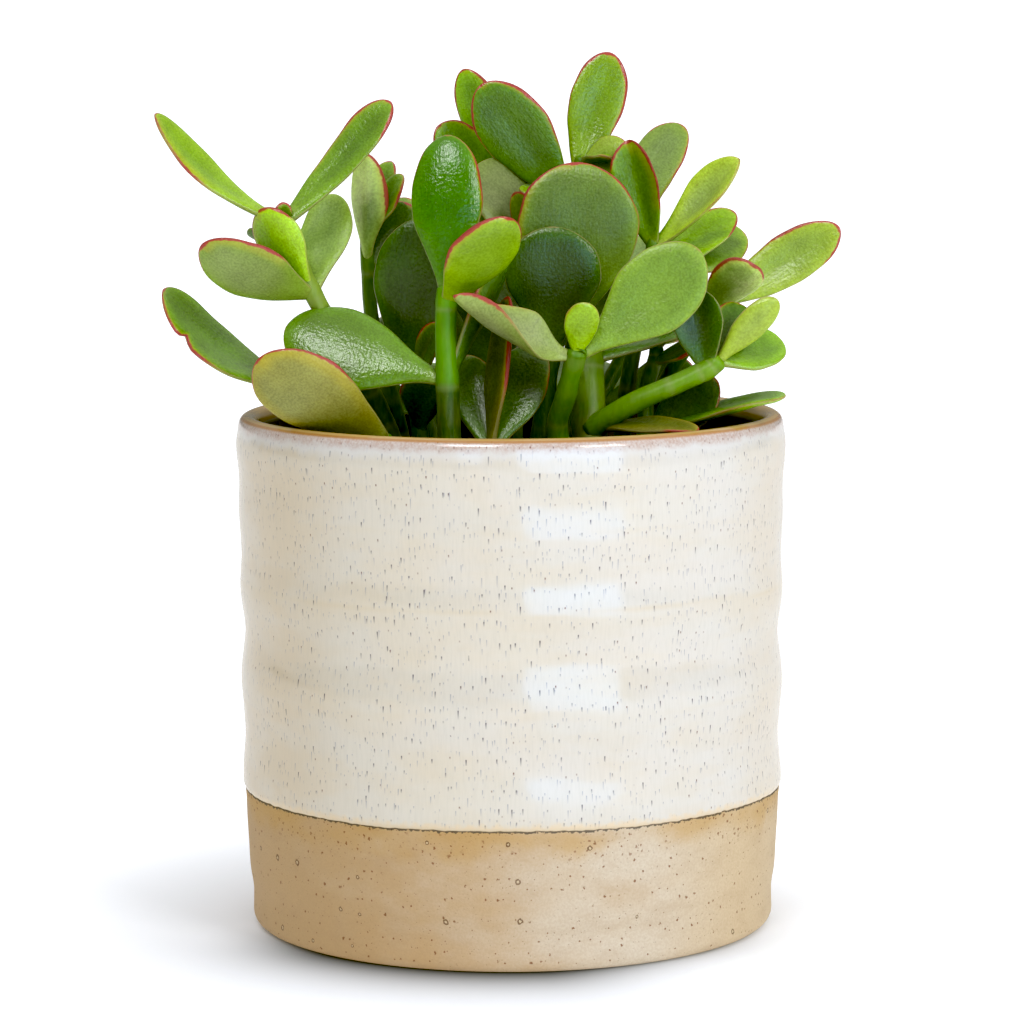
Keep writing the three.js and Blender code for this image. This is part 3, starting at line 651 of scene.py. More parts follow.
leafyStems = {
    "left": [
        {
            "path": [
                (-27, -14, 97), (-27, -14, 113), (-31, -17, 126), (-36, -20.5, 137),
                (-42, -24.5, 148), (-47, -27, 157), (-50.5, -28, 166), (-53.5, -29, 174),
                (-53.7, -29, 175.4),
            ],
            "radius": (2.9, 1.5),
            "bark": ("#4C6E1A", "#86A23E"),
            "leaves": [
                leaf(
                    5, (-72.5, -38, 169.6), 18, (0.15, 0.75, 0.6), -1.5, 1, widest=0.56,
                    skin="grey", rim=0.58, glow=1.6, red=(0, 0, 1), full=0.6, sway=(0, 0, -1),
                ),
                leaf(
                    5, (-42.6, -14, 180.2), 13, (-0.3, -0.85, 0.45), -1, 0.8,
                    skin="grey", rim=0.08, tone=1.2,
                ),
                leaf(
                    5, (-58.8, -31, 177.6), 13, (0.35, 0.8, 0.5), -1, 1, widest=0.68,
                    skin="fresh", rim=0.55, glow=1.6, red=(-1, 0, 0.3), tone=1.5,
                ),
                leaf(6, (-63, -19, 171.2), 6.5, (0.2, 0.4, 0.8), skin="deep", rim=0.1, tone=1.4, full=0.5),
                leaf(
                    7, (-83.5, -34, 200), 10.5, (0.5, -0.5, 0.7), -4, 1, widest=0.66,
                    skin="fresh", rim=0.26, glow=1.8, red=(-0.6, 0, -0.8),
                ),
                leaf(
                    7, (-28.2, -24, 202.5), 11, (-0.45, -0.8, 0.4), -1.2, 1, widest=0.72,
                    skin="mid", rim=0.75, glow=0.8, red=(-1, 0, 0.6), tone=0.8, full=0.5,
                ),
                leaf(7, (-53.8, -30.2, 179), 4, (0, -0.9, 0.2), skin="mid", rim=0.5, tone=0.8),
            ],
        },
        {
            "path": [(-31, -17, 126), (-41, -17.5, 130), (-50, -17.5, 134)],
            "radius": (2.1, 1.7),
            "bark": ("#5E8426", "#7A9A3C"),
            "leaves": [
                leaf(
                    2, (-83.3, -20, 157.8), 20, (0.35, -0.4, 0.85), -4, 1.2,
                    skin="mid", rim=0.35, nick=(0.74, -1, 3.0), red=(-0.7, 0, -0.7), tone=0.8,
                    sway=(-0.6, 0, -1.4),
                ),
                leaf(2, (-66, 4, 139), 13, (0.2, -0.2, 0.9), -1.5, skin="mid", rim=0.3),
            ],
        },
    ],
    "low_left": [
        {
            "path": [(-27, -30, 97), (-27, -30, 112), (-29, -34, 119), (-30, -36, 123)],
            "radius": (2.3, 1.9),
            "bark": ("#3C6A0C", "#4E8410"),
            "leaves": [
                leaf(
                    3, (-59.2, -46, 143), 21, (0.25, 0.9, 0.35), -1.5, 1,
                    skin="olive", rim=0.42, glow=2.4, red=(1, 0, 1), full=0.5,
                ),
                leaf(2, (-51, -27, 126.5), 10, (0.3, 0.2, 0.95), -1, skin="deep", rim=0.3),
            ],
        },
    ],
    "left_rear": [
        {
            "path": [
                (-26, -3, 97), (-26, -3, 112), (-27.5, -4, 124), (-30.5, -5, 135), (-33.5, -6, 147),
                (-34.5, -6, 162), (-34.8, -6, 169), (-34.2, -6, 173),
            ],
            "radius": (2.3, 1.4),
            "leaves": [
                leaf(4, (-12, 16, 147.5), 19, (0, -0.9, 0.4), -1.5, skin="deep", rim=0.1),
                leaf(
                    5, (-34.8, -10, 189.8), 9.8, (0.35, 0.85, 0.1), -0.8, 2.5, widest=0.56,
                    skin="silver", rim=0.55, glow=0.8, red=(1, 0, 0.2), tone=1.85, full=1.3,
                ),
                leaf(5, (-24, -2, 177), 13, (-0.3, -0.9, 0.2), skin="deep", rim=0.5),
                leaf(5, (-24.5, 8, 178), 9, (-0.2, -0.9, 0.3), skin="grey"),
                leaf(6, (-29.2, 1, 187.5), 9, (-0.6, -0.7, 0.2), skin="mid", rim=0.3, tone=0.8),
                leaf(6, (-26, -6, 184.5), 7.5, (-0.6, -0.7, 0.3), skin="mid", rim=0.3, tone=0.8),
            ],
        },
    ],
    "shaded": [
        {
            "path": [
                (-21, -20, 97), (-21, -20, 112), (-22, -20, 123), (-24, -20, 134), (-26, -20, 142.5),
                (-26, -19, 147),
            ],
            "radius": (2.2, 1.5),
            "leaves": [
                leaf(
                    3, (-21.5, -23, 174.5), 20, (-0.25, -0.95, 0.1), 1, 1,
                    skin="dark", rim=0.1, glow=0.8, tone=1.15,
                ),
                leaf(5, (-21, 3, 165), 12, (0, -0.6, 0.8), -1, skin="deep", rim=0.4),
                leaf(3, (-17, -27, 150), 7, (-0.3, -0.8, 0.4), skin="deep"),
                leaf(2, (-20.8, -30, 138.5), 11, (0.2, 0.6, 0.7), skin="deep"),
            ],
        },
    ],
    "front_left": [
        {
            "path": [
                (-14.4, -38, 97), (-14.4, -38, 112), (-14.6, -38, 124), (-15, -38, 137),
                (-15.3, -38, 147), (-15.1, -38, 155.5), (-15, -38, 158.5),
            ],
            "radius": (3, 2.3),
            "bark": ("#2A5004", "#5C9A06"),
            "footToTopSpan": (0.6, 0.66),
            "leaves": [
                leaf(
                    3, (-53.6, -30.5, 149), 20.5, (-0.15, -0.88, 0.5), 0.5, -1.3,
                    skin="sheen", rim=0.12, full=1.0,
                ),
                leaf(3, (-0.5, -29, 165), 14, (-0.85, 0.35, 0.4), 0, 1, skin="deep", rim=0.3),
                leaf(
                    5, (-14.5, -33, 194.8), 17, (-0.13, -0.96, 0.28), 1.8, -0.8,
                    skin="glossy", rim=0.3, glow=0.4, tone=0.78, full=0.9,
                ),
                leaf(
                    5, (-0.3, -52, 176.3), 17, (-0.25, 0.65, 0.7), -1.2, 1.2, widest=0.6,
                    skin="fresh", rim=0.7, glow=0.7, red=(-1, 0, 0.6), tone=0.95, full=0.55,
                ),
            ],
        },
    ],
    "centre_low": [
        {
            "path": [(-5, -36, 97), (-5, -36, 112), (-5, -36.5, 119)],
            "radius": (2.2, 2),
            "bark": ("#33500E", "#3C5A14"),
            "leaves": [
                leaf(
                    2, (-0.5, -30.5, 156.5), 12, (-0.9, -0.45, 0), 0, 0.8,
                    skin="olive", rim=0.8, glow=0.8, red=(1, -1, 0), tone=0.5,
                ),
                leaf(2, (-11, -25, 142), 12, (0.1, -0.9, 0.4), skin="deep", rim=0.2),
                leaf(2, (6, -24, 144), 14, (-0.2, -0.95, 0.2), skin="deep", rim=0.2),
            ],
        },
    ],
    "centre": [
        {
            "path": [
                (6, -14, 97), (6, -14, 112), (8, -15.5, 128), (10, -17, 142), (13, -14, 147),
                (16.5, -10, 151), (17.5, -8, 155),
            ],
            "radius": (2.6, 1.8),
            "leaves": [
                leaf(3, (10.4, -21, 172.5), 23, (-0.02, -0.98, 0.18), 0.5, 0.4, skin="dark", rim=0.1),
                leaf(3, (-6, 2, 160), 17, (0.3, -0.5, 0.8), -1.5, skin="mid", rim=0.2, tone=0.7),
                leaf(
                    5, (16, -11, 187.5), 29.5, (0, -0.97, 0.25), 1.5, 1, widest=0.54,
                    skin="sage", rim=0.62, glow=1.2, tone=0.82, full=0.5,
                ),
                leaf(6, (1, -5, 180), 12, (-0.8, -0.55, 0.2), skin="grey", rim=0.6),
            ],
        },
    ],
    "top": [
        {
            "path": [
                (12, 2, 97), (12, 2, 112), (14, 2.5, 127), (15.5, 3, 141), (15.5, 4, 163),
                (14.5, 5, 177.5), (16.8, 6, 184.5), (17.6, 6, 187.5),
            ],
            "radius": (2.6, 1.5),
            "leaves": [
                leaf(
                    4, (-8.5, 1, 186), 21, (-0.35, -0.45, 0.8),
                    skin="silver", rim=0.15, tone=0.62, full=0.5,
                ),
                leaf(4, (29, 27, 178), 16, (-0.4, -0.75, 0.4), -1.5, skin="deep", rim=0.4),
                leaf(3, (24.5, 24, 158), 18, (0.1, -0.8, 0.5), -1.5, skin="deep", rim=0.4),
                leaf(
                    5, (-7, 2, 206), 17, (-0.35, -0.85, 0.35), -0.5,
                    skin="dusk", rim=0.65, glow=0.7, full=0.6, tone=0.95,
                ),
                leaf(5, (1.5, 7, 182.5), 10, (-0.2, -0.5, 0.8), skin="fresh", rim=0.2),
                leaf(
                    6, (24.8, 10, 213.6), 13.5, (0.05, -0.95, 0.2), -1,
                    skin="fresh", rim=0.75, glow=0.5, full=0.45, tone=0.82,
                ),
                leaf(
                    6, (28.9, 2, 191), 10, (-0.1, -0.9, 0.42), 0.5, -0.5,
                    skin="pale", rim=0.4, full=0.5, tone=0.8,
                ),
                leaf(7, (24.5, -1, 188), 5, (-0.3, 0.3, 0.9), skin="mid", rim=0.15),
            ],
        },
    ],
    "back_top": [
        {
            "path": [
                (-2, 14, 97), (-2, 14, 112), (-1, 17, 130), (1, 19, 160), (1.5, 20, 178),
                (1.5, 20, 183),
            ],
            "radius": (2.6, 1.5),
            "leaves": [
                leaf(2, (-15, 29, 164), 22, (0.4, -0.8, 0.4), -1.5, skin="deep", rim=0.1, full=0.5),
                leaf(3, (21, 41, 176), 16, (-0.3, -0.8, 0.4), -1.5, skin="fresh", rim=0.4),
                leaf(3, (-19, 37, 177), 15, (0.3, -0.8, 0.4), -1.5, skin="mid", rim=0.4),
                leaf(
                    4, (-11.5, 20, 209.5), 11.5, (-0.45, -0.85, 0.3), -1,
                    skin="mid", rim=0.6, glow=0.7, tone=1.35,
                ),
                leaf(4, (-18, 13, 195.5), 13, (-0.3, -0.75, 0.5), -1, skin="mid", rim=0.6, tone=1.1),
                leaf(4, (10, 47, 181), 14, (-0.2, -0.6, 0.7), -1.5, skin="grey", rim=0.4),
                leaf(5, (-7, 43, 181), 13, (0.2, -0.6, 0.7), -1.5, skin="fresh", rim=0.4),
            ],
        },
    ],
    "right_upper": [
        {
            "path": [
                (27, -5, 97), (27, -5, 112), (28, -5, 128), (31, -4.5, 147), (34.3, -4, 161),
                (34.8, -4, 166.5), (35, -3.5, 169.5),
            ],
            "radius": (2.3, 1.5),
            "leaves": [
                leaf(
                    4, (55.2, 4, 174.6), 11.5, (-0.2, -0.75, 0.65), -1,
                    skin="fresh", rim=0.6, red=(0, 0, 1), full=0.6, tone=1.15,
                ),
                leaf(4, (58, 10, 169), 14.5, (0, -0.8, 0.6), -1, skin="sage", rim=0.2, tone=1.25),
                leaf(4, (40, 26, 160), 14, (-0.1, -0.6, 0.8), -1.5, skin="mid", rim=0.4),
                leaf(
                    5, (28.8, -4, 192.6), 12, (-0.45, -0.88, 0.1), 0, 3.5,
                    skin="mid", rim=0.8, glow=2.2, red=(1, 0, 0.3), full=0.5, sway=(0.6, 0, 0),
                ),
                leaf(
                    5, (55.7, -8, 188), 11.5, (-0.4, -0.65, 0.65), -2, 3,
                    skin="frost", rim=0.16, glow=3.0, red=(1, 0, -1), full=0.7, tone=1.05,
                ),
                leaf(
                    5, (43.3, 14, 195.2), 12, (0.1, -0.95, 0.3), -1, widest=0.72,
                    skin="grey", rim=0.35, red=(1, 0, 0), tone=0.82, sway=(-5.5, 0, 1),
                ),
            ],
        },
    ],
    "right": [
        {
            "path": [
                (33, 2, 97), (33, 2, 112), (35, 0, 127), (42, -6, 141), (48, -9.5, 150),
                (50, -10, 153.5),
            ],
            "radius": (2.2, 1.5),
            "leaves": [
                leaf(
                    4, (58.2, -27, 163.6), 12, (0.1, 0.8, 0.55), -1.5, 1, widest=0.6,
                    skin="silver", rim=0.6, glow=0.8, red=(0, 0, 1), tone=1.7, sway=(0, 0, 2),
                ),
                leaf(
                    5, (79.8, -10, 171.5), 12.5, (0.1, -0.93, 0.3), -3, 1,
                    skin="pale", rim=0.7, glow=0.5, red=(-0.3, 0, 1), tone=0.82, full=0.45,
                ),
                leaf(5, (58, -4, 159), 6, (-0.3, -0.6, 0.7), skin="mid"),
                leaf(4, (54, 16, 147), 13, (-0.1, -0.5, 0.85), -1, skin="fresh", rim=0.4),
            ],
        },
    ],
    "front_trunk": [
        {
            "path": [
                (19, -25, 97), (19, -25, 112), (19, -25, 124), (18.8, -23.5, 132),
                (18.5, -21, 139.5), (18.5, -20, 142.5),
            ],
            "radius": (4.2, 3.8),
            "bark": ("#587A2A", "#6E9222"),
            "leaves": [
                leaf(4, (44, -13, 148), 16, (0, -0.25, 0.97), 1, skin="deep", rim=0.1, tone=1.2),
                leaf(
                    2, (44, -44, 125.4), 10, (0.1, -0.35, 0.93), 1.2, 0.5,
                    skin="olive", rim=0.5, glow=1.2, red=(0, 0, 1), tone=0.6,
                ),
            ],
        },
        {
            "path": [
                (18, -26, 115), (12.5, -31, 120), (11, -33, 126), (13.2, -37, 134), (15.4, -40, 142.8),
                (15.6, -40.5, 143.8),
            ],
            "radius": (2.7, 2.2),
            "bark": ("#44720E", "#55860F"),
            "leaves": [
                leaf(
                    4, (-13, -50, 158), 14, (0.1, -0.98, 0.2), -2.5, 4.5, 115, 0.4,
                    skin="silver", rim=0.42, glow=0.8, tone=0.92, full=1.4, sway=(0, 0, -2.5),
                ),
                leaf(
                    4, (44.4, -39, 168), 19.5, (0.1, -0.95, 0.28), -1, 1, widest=0.66,
                    skin="meadow", rim=0.12, glow=0.8, full=1.1, sway=(0, 0, -1.5),
                ),
                leaf(
                    5, (17.6, -46, 156), 8.2, (0, 0.8, 0.5), 0, 0.3, 0, 0.6,
                    skin="fresh", rim=0.15, tone=1.25, full=0.5,
                ),
            ],
        },
        {
            "path": [
                (19, -27, 124.5), (25, -31, 128.5), (32, -33, 132.5), (40, -34, 136), (46.5, -34, 139),
                (49, -34, 141),
            ],
            "radius": (2.7, 2.2),
            "bark": ("#6A9A12", "#6FA016"),
            "leaves": [
                leaf(
                    4, (44.4, -32, 158), 12, (-0.3, -0.93, 0.1), 0, 3,
                    skin="dark", rim=0.05, full=0.45,
                ),
                leaf(5, (63, -37, 156), 8, (0.4, 0.6, 0.7), skin="pale", rim=0.1, tone=0.8),
                leaf(
                    5, (64.8, -24, 145.4), 13.5, (-0.1, -0.75, 0.65), -1,
                    skin="mid", rim=0.1, tone=1.1, full=0.6,
                ),
                leaf(5, (55, -24, 154), 10, (0.2, -0.9, 0.3), skin="deep"),
            ],
        },
    ],
    "low_right": [
        {
            "path": [
                (32, -15, 97), (32, -15, 112), (32.5, -14.5, 121), (33, -11.5, 132), (35, -9, 139),
                (35.5, -8.5, 142),
            ],
            "radius": (2.2, 1.6),
            "leaves": [
                leaf(2, (50, -20, 135), 15, (0, -0.75, 0.65), -0.5, skin="deep", rim=0.2),
                leaf(
                    2, (65.5, -30, 132.2), 14, (0.05, -0.22, 0.97), 1.2, 0.8,
                    skin="mid", rim=0.15, glow=0.6, tone=1.2,
                ),
                leaf(5, (40, -1, 151), 9, (-0.3, -0.6, 0.7), skin="deep", rim=0.4),
                leaf(4, (44.5, -16, 143), 10, (-0.1, -0.5, 0.85), skin="mid", rim=0.4),
            ],
        },
    ],
    "back_right": [
        {
            "path": [
                (17, 18, 97), (17, 18, 112), (22, 22, 126), (30, 28, 140), (36, 32, 150),
                (37, 33, 153),
            ],
            "radius": (2.5, 1.5),
            "leaves": [
                leaf(2, (46, 13, 134), 17, (-0.3, -0.7, 0.6), -1, skin="deep", rim=0.4),
                leaf(2, (22, 50, 134), 13, (0, -0.5, 0.85), -1.5, skin="fresh", rim=0.4),
                leaf(3, (42, 56, 145), 16, (-0.1, -0.7, 0.65), -1.5, skin="mid", rim=0.4),
                leaf(4, (14, 49, 160), 18, (0.2, -0.8, 0.5), -1.5, skin="deep", rim=0.4),
                leaf(4, (59, 40, 154), 15, (-0.5, -0.4, 0.75), -1.5, skin="mid", rim=0.4),
                leaf(5, (33, 56, 166), 14, (0, -0.75, 0.6), -1.5, skin="grey", rim=0.4),
            ],
        },
    ],
    "back_left": [
        {
            "path": [
                (-17, 13, 97), (-17, 13, 112), (-20, 18, 125), (-25, 23, 137), (-28, 26, 146),
                (-28.5, 26.5, 149),
            ],
            "radius": (2.4, 1.5),
            "leaves": [
                leaf(2, (-45, 13, 133), 15, (0.3, -0.7, 0.6), -1, skin="deep", rim=0.4),
                leaf(3, (-43, 48, 141), 16, (0.2, -0.7, 0.65), -1.5, skin="mid", rim=0.4),
                leaf(4, (-11, 49, 160), 18, (-0.2, -0.8, 0.5), -1.5, skin="deep", rim=0.4),
                leaf(4, (-53, 32, 147), 15, (0.5, -0.4, 0.75), -1.5, skin="mid", rim=0.4),
                leaf(5, (-30, 50, 163), 14, (0, -0.75, 0.6), -1.5, skin="grey", rim=0.4),
            ],
        },
    ],
    "back_low": [
        {
            "path": [(1, 31, 97), (1, 31, 112), (1, 35, 119), (1.5, 38, 125), (1.5, 39, 128)],
            "radius": (2.3, 1.7),
            "leaves": [
                leaf(2, (-24, 53, 133), 15, (0.3, -0.6, 0.75), -1, skin="fresh", rim=0.4),
                leaf(3, (22, 59, 137), 15, (-0.3, -0.6, 0.75), -1, skin="mid", rim=0.4),
                leaf(4, (-5, 61, 149), 18, (0, -0.8, 0.55), -1.5, skin="deep", rim=0.4),
            ],
        },
    ],
}


def unit(vectors):
    return vectors / np.linalg.norm(vectors, axis=-1, keepdims=True)


def turnAbout(vectors, axes, angles):
    cos, sin = np.cos(angles)[:, None], np.sin(angles)[:, None]
    along = (vectors * axes).sum(-1, keepdims=True)
    return vectors * cos + np.cross(axes, vectors) * sin + axes * along * (1 - cos)


def outline(along, widest, full):
    # share of the blade's full width at a share of its length
    rising = np.clip(0.5 - 0.5 * np.cos(math.pi * along / widest), 0, 1) ** full
    falling = np.clip(1 - (np.clip(along - widest, 0, None) / (1 - widest)) ** 2.2, 0, 1) ** 0.55
    return np.where(along <= widest, rising, falling)


def tubeFaces(rings, sides):
    j = np.arange(sides)
    following = (j + 1) % sides
    faces = []
    for k in range(rings - 1):
        low, high = k * sides, (k + 1) * sides
        faces += np.stack([low + j, low + following, high + following, high + j], axis=1).tolist()
    first, final, top = rings * sides, rings * sides + 1, (rings - 1) * sides
    faces += np.stack([np.full(sides, first), following, j], axis=1).tolist()
    faces += np.stack([np.full(sides, final), top + j, top + following], axis=1).tolist()
    return faces


def facesOut(points, faces):
    # turns a closed tube's faces round if they look inwards
    quads = np.array([f if len(f) == 4 else f + [f[0]] for f in faces])
    a, b, c, d = (points[quads[:, i]] for i in range(4))
    volume = (a * np.cross(b, c)).sum() + (a * np.cross(c, d)).sum()
    return faces if volume > 0 else [f[::-1] for f in faces]


def bladeMesh(root, one, seed):
    draw = np.random.RandomState(seed)
    rings, sides = blade["rings"], blade["sides"]
    skin, widest = skins[one["skin"]], one["widest"]
    line = np.array(one["tip"], float) - root
    length = np.linalg.norm(line)
    upper = np.array(one["face"], float)
    upper = unit(upper - line * (upper @ line) / (line @ line))
    step = np.linspace(0, 1, rings)
    along = np.where(step < 0.5, widest * 2 * step, widest + (1 - widest) * np.sin((step - 0.5) * math.pi))
    along = np.minimum(along, 0.999)
    spread = outline(along, widest, one["full"])
    stalk = blade["stalkHalfWidth"] + blade["stalkPerWidth"] * one["width"]
    half = one["width"] / 2 * spread + stalk * (1 - along) * (1 - spread)
    fullest = blade["halfThickness"] + blade["thicknessPerWidth"] * one["width"]
    thinnest = np.where(along < widest, blade["stalkHalfThickness"], blade["tipHalfThickness"])
    thick = thinnest + (fullest - thinnest) * spread
    thick = thick * np.sqrt(np.clip(1 - np.clip((along - 0.93) / 0.0705, 0, 1) ** 2, 0, 1))
    bow = upper * one["arch"] * 4 + np.array(one["sway"], float) * 4
    centre = root + line * along[:, None] + bow * (along * (1 - along))[:, None]
    forward = unit(line + bow * (1 - 2 * along)[:, None])
    normal = unit(upper - forward * (forward @ upper)[:, None])
    normal = turnAbout(normal, forward, np.radians(one["turn"] * along))
    side = np.cross(forward, normal)
    angle = 2 * math.pi * np.arange(sides) / sides
    across, up = np.cos(angle), np.sin(angle)
    # the two edges wander a little, each in its own way
    phase = draw.uniform(0, 2 * math.pi, 4)
    left, right = (
        1 + 0.022 * np.sin(2 * math.pi * slow * along + phase[k])
        + 0.010 * np.sin(2 * math.pi * fast * along + phase[k + 1])
        for k, slow, fast in ((0, 1.6, 4.3), (2, 1.4, 3.7))
    )
    reach = half[:, None] * np.where(across > 0, right[:, None], left[:, None])
    if one["nick"]:
        dentAt, which, depth = one["nick"]
        dent = depth * np.exp(-(((along - dentAt) / 0.03) ** 2))[:, None] * (across * which > 0)
        reach = reach - dent
    power = 2 + 1.1 * spread[:, None]
    body = 1.04 * thick[:, None] * np.sqrt(np.clip(1 - np.abs(across) ** power, 0, 1))
    lift = one["fold"] * spread[:, None] * np.abs(across) ** 1.6
    wave = blade["edgeWave"] * spread[:, None] * np.abs(across) ** 3 * np.sin(
        2 * math.pi * 1.3 * along[:, None] + phase[0] + 2.4 * (across > 0))
    rib = np.exp(-((across * half[:, None] / 0.8) ** 2)) * spread[:, None]
    ribDepth = blade["midrib"] * rib * np.where(up > 0, 1.0, 0.6) * ease(1 - along, 0.1, 0.4)[:, None]
    height = lift + wave + body * np.sign(np.round(up, 6)) - ribDepth
    points = (
        centre[:, None] + side[:, None] * (across * reach)[..., None] + normal[:, None] * height[..., None]
    )
    swell = blade["unevenness"] * waves(seed + 500, 6, 9, 24)(points) * spread[:, None] * (1 - across**6)
    points = points + normal[:, None] * swell[..., None]
    alongAll = np.broadcast_to(along[:, None], points.shape[:2])
    edge = np.minimum(half[:, None] * (1 - np.abs(across)), (1 - alongAll) * length * 0.9)
    topSide = np.broadcast_to(ease(up, -0.3, 0.3), points.shape[:2])
    tone = draw.uniform(0.95, 1.05) * one["tone"]
    patchy = 0.75 + 0.35 * waves(seed + 700, 6, 10, 26)(points)
    bloom = ease(edge, 0.3, 4.2) * ease(alongAll, 0.1, 0.45) * patchy
    middle = mixColours(linear(skin["under"]), linear(skin["upper"]), topSide)
    colour = mixColours(linear(skin["lively"]), middle, np.clip(bloom, 0, 1)) * tone
    nearStalk = 1 - ease(alongAll, 0.02, 0.16)
    colour = mixColours(colour, linear(blade["stalkColour"]), nearStalk * 0.45)
    # the red is strongest at the tip and along one of the two margins
    redSide, faintest = np.sign(draw.uniform(-1, 1)), 0.45
    if one["red"]:
        redSide, faintest = np.sign(side[rings // 2] @ np.array(one["red"], float)), 0.1
    strong = 0.5 + 0.5 * redSide * np.sign(across)
    reddest = np.maximum(strong, ease(alongAll, 0.72, 0.94))
    redness = ease(alongAll, 0.2, 0.7) * (faintest + (1 - faintest) * reddest)
    glowing = np.broadcast_to(one["glow"] * (0.2 + 0.8 * strong), alongAll.shape)
    redness = redness * (0.9 + 0.25 * np.sin(2 * math.pi * 2.2 * alongAll + phase[2]))
    place = np.stack([across * reach, alongAll * length, topSide * 9 + (seed % 50) * 17.0], axis=-1)
    flat = points.reshape(-1, 3)
    ends = np.stack([root, np.array(one["tip"], float)])
    ends[1] += normal[-1] * one["fold"] * 0.1
    values = {
        "skinColour": np.concatenate([colour.reshape(-1, 4), colour[0, :1], colour[-1, :1]]),
        "edge": np.r_[edge.ravel(), 1.0, 0.0],
        "rim": np.r_[(one["rim"] * redness).ravel(), 0.0, one["rim"]],
        "glow": np.r_[glowing.ravel(), one["glow"], one["glow"]],
        "leafPlace": np.concatenate([place.reshape(-1, 3), place[0, :1], place[-1, :1]]),
        "waxy": np.full(flat.shape[0] + 2, skin["waxy"]),
        "nodeScar": np.zeros(flat.shape[0] + 2),
        "cork": np.zeros(flat.shape[0] + 2),
    }
    points = np.concatenate([flat, ends])
    return points, facesOut(points, tubeFaces(rings, sides)), values


def throughPoints(path, count):
    # a smooth curve through the path's points, and how far along the list of points each sample lies
    path = np.array(path, float)
    slope = np.concatenate([[path[1] - path[0]], (path[2:] - path[:-2]) / 2, [path[-1] - path[-2]]])
    place = np.linspace(0, len(path) - 1, count)
    k = np.minimum(place.astype(int), len(path) - 2)
    t = (place - k)[:, None]
    points = (
        (2 * t**3 - 3 * t**2 + 1) * path[k] + (t**3 - 2 * t**2 + t) * slope[k]
        + (3 * t**2 - 2 * t**3) * path[k + 1] + (t**3 - t**2) * slope[k + 1]
    )
    return points, place


def stemMesh(branch, seed):
    draw = np.random.RandomState(seed)
    path, sides = np.array(branch["path"], float), stem["sides"]
    length = np.linalg.norm(np.diff(path, axis=0), axis=1).sum()
    count = max(12, int(length / stem["ringSpacing"]))
    points, place = throughPoints(path, count)
    forward = unit(np.gradient(points, axis=0))
    travel = np.r_[0, np.cumsum(np.linalg.norm(np.diff(points, axis=0), axis=1))]
    nodes = [np.interp(at, place, travel) for at in sorted({one["at"] for one in branch["leaves"]})]
    radius = np.interp(place, [0, len(path) - 1], branch["radius"])
    scar = np.zeros(count)
    joint = np.zeros(count)
    for node in nodes:
        joint += np.exp(-(((travel - node) / stem["swellingLength"]) ** 2))
        scar += np.exp(-(((travel - node + 1.6) / 0.5) ** 2))
    firstNode = nodes[0] if nodes else length
    for old in np.arange(firstNode - 9.5, 15, -8.5 - draw.uniform(0, 2)):  # scars of leaves long shed
        joint += 0.5 * np.exp(-(((travel - old) / 1.6) ** 2))
        scar += np.exp(-(((travel - old) / 0.5) ** 2))
    radius = radius * (1 + stem["swelling"] * np.clip(joint, 0, 1)) * (1 - 0.035 * np.clip(scar, 0, 1))
    out = np.zeros((count, 3))
    aim = np.array([1.0, 0.0, 0.0])
    for k in range(count):
        aim = unit(aim - forward[k] * (aim @ forward[k]))
        out[k] = aim
    side = np.cross(forward, out)
    angle = 2 * math.pi * np.arange(sides) / sides
    ridges = 1 + 0.02 * np.sin(3 * angle + draw.uniform(0, 6))
    ridges = ridges + 0.012 * np.sin(5 * angle + draw.uniform(0, 6))
    reach = radius[:, None] * ridges
    flat = points[:, None] + out[:, None] * (np.cos(angle) * reach)[..., None]
    flat = flat + side[:, None] * (np.sin(angle) * reach)[..., None]
    flat = flat + unit(flat - points[:, None]) * (0.1 * waves(seed + 900, 6, 4, 12)(flat))[..., None]
    # a rounded crown closes the growing end
    crownRings = []
    for bend in (0.4, 0.8, 1.15):
        centre = points[-1] + forward[-1] * stem["crown"] * radius[-1] * math.sin(bend)
        crownRings.append(centre + (flat[-1] - points[-1]) * math.cos(bend))
    flat = np.concatenate([flat, np.stack(crownRings)]).reshape(-1, 3)
    rings = count + len(crownRings)
    ends = np.stack([points[0], points[-1] + forward[-1] * stem["crown"] * radius[-1]])
    allPoints = np.concatenate([flat, ends])
    rise = np.repeat(np.r_[travel, [travel[-1]] * len(crownRings)] / travel[-1], sides)
    rise = np.r_[rise, 0, 1]
    # each stem's colour goes from a darker foot to its top colour over the given share of its length
    foot, top = branch.get("bark", ("#2C4A06", "#558408"))
    colour = mixColours(linear(foot), linear(top), ease(rise, *branch.get("footToTopSpan", (0.15, 0.85))))
    size = len(allPoints)
    scarAll = np.r_[np.repeat(np.r_[scar, [0] * len(crownRings)], sides), 0, 0]
    woody = np.clip((branch["radius"][0] - 2.6) / 1.8, 0, 1) * (1 - ease(rise, 0.35, 0.9))
    values = {
        "skinColour": colour,
        "edge": np.full(size, 50.0),
        "rim": np.full(size, -5.0),
        "glow": np.zeros(size),
        "leafPlace": allPoints,
        "waxy": np.full(size, 0.35),
        "nodeScar": np.clip(scarAll, 0, 1),
        "cork": woody,
    }
    return allPoints, facesOut(allPoints, tubeFaces(rings, sides)), values


# Jade leaf: a thick living skin under a thin wax bloom, so it is smooth and half glossy, lit a little from
# within, faintly streaked along its length, dotted with pale pores, and crimson along its sunlit margin.
leafLook = {
    "crimson": "#AE1A3A",
    "wine": "#84142E",
    "glowInside": "#C9B83A",
    "paleEdge": "#B7AC74",
    "pore": "#B6C860",
    "dust": "#A9BC74",
    "blemish": "#6E6A34",
    "glossRoughness": 0.17,
    "waxRoughness": 0.4,
    "ior": 1.44,
    "poreSpacing": 1.5,
    "streakWidth": 0.5,
    "streakLength": 7.0,
    "relief": 0.09,
    "lightInside": (0.9, 1.4, 0.3),
}


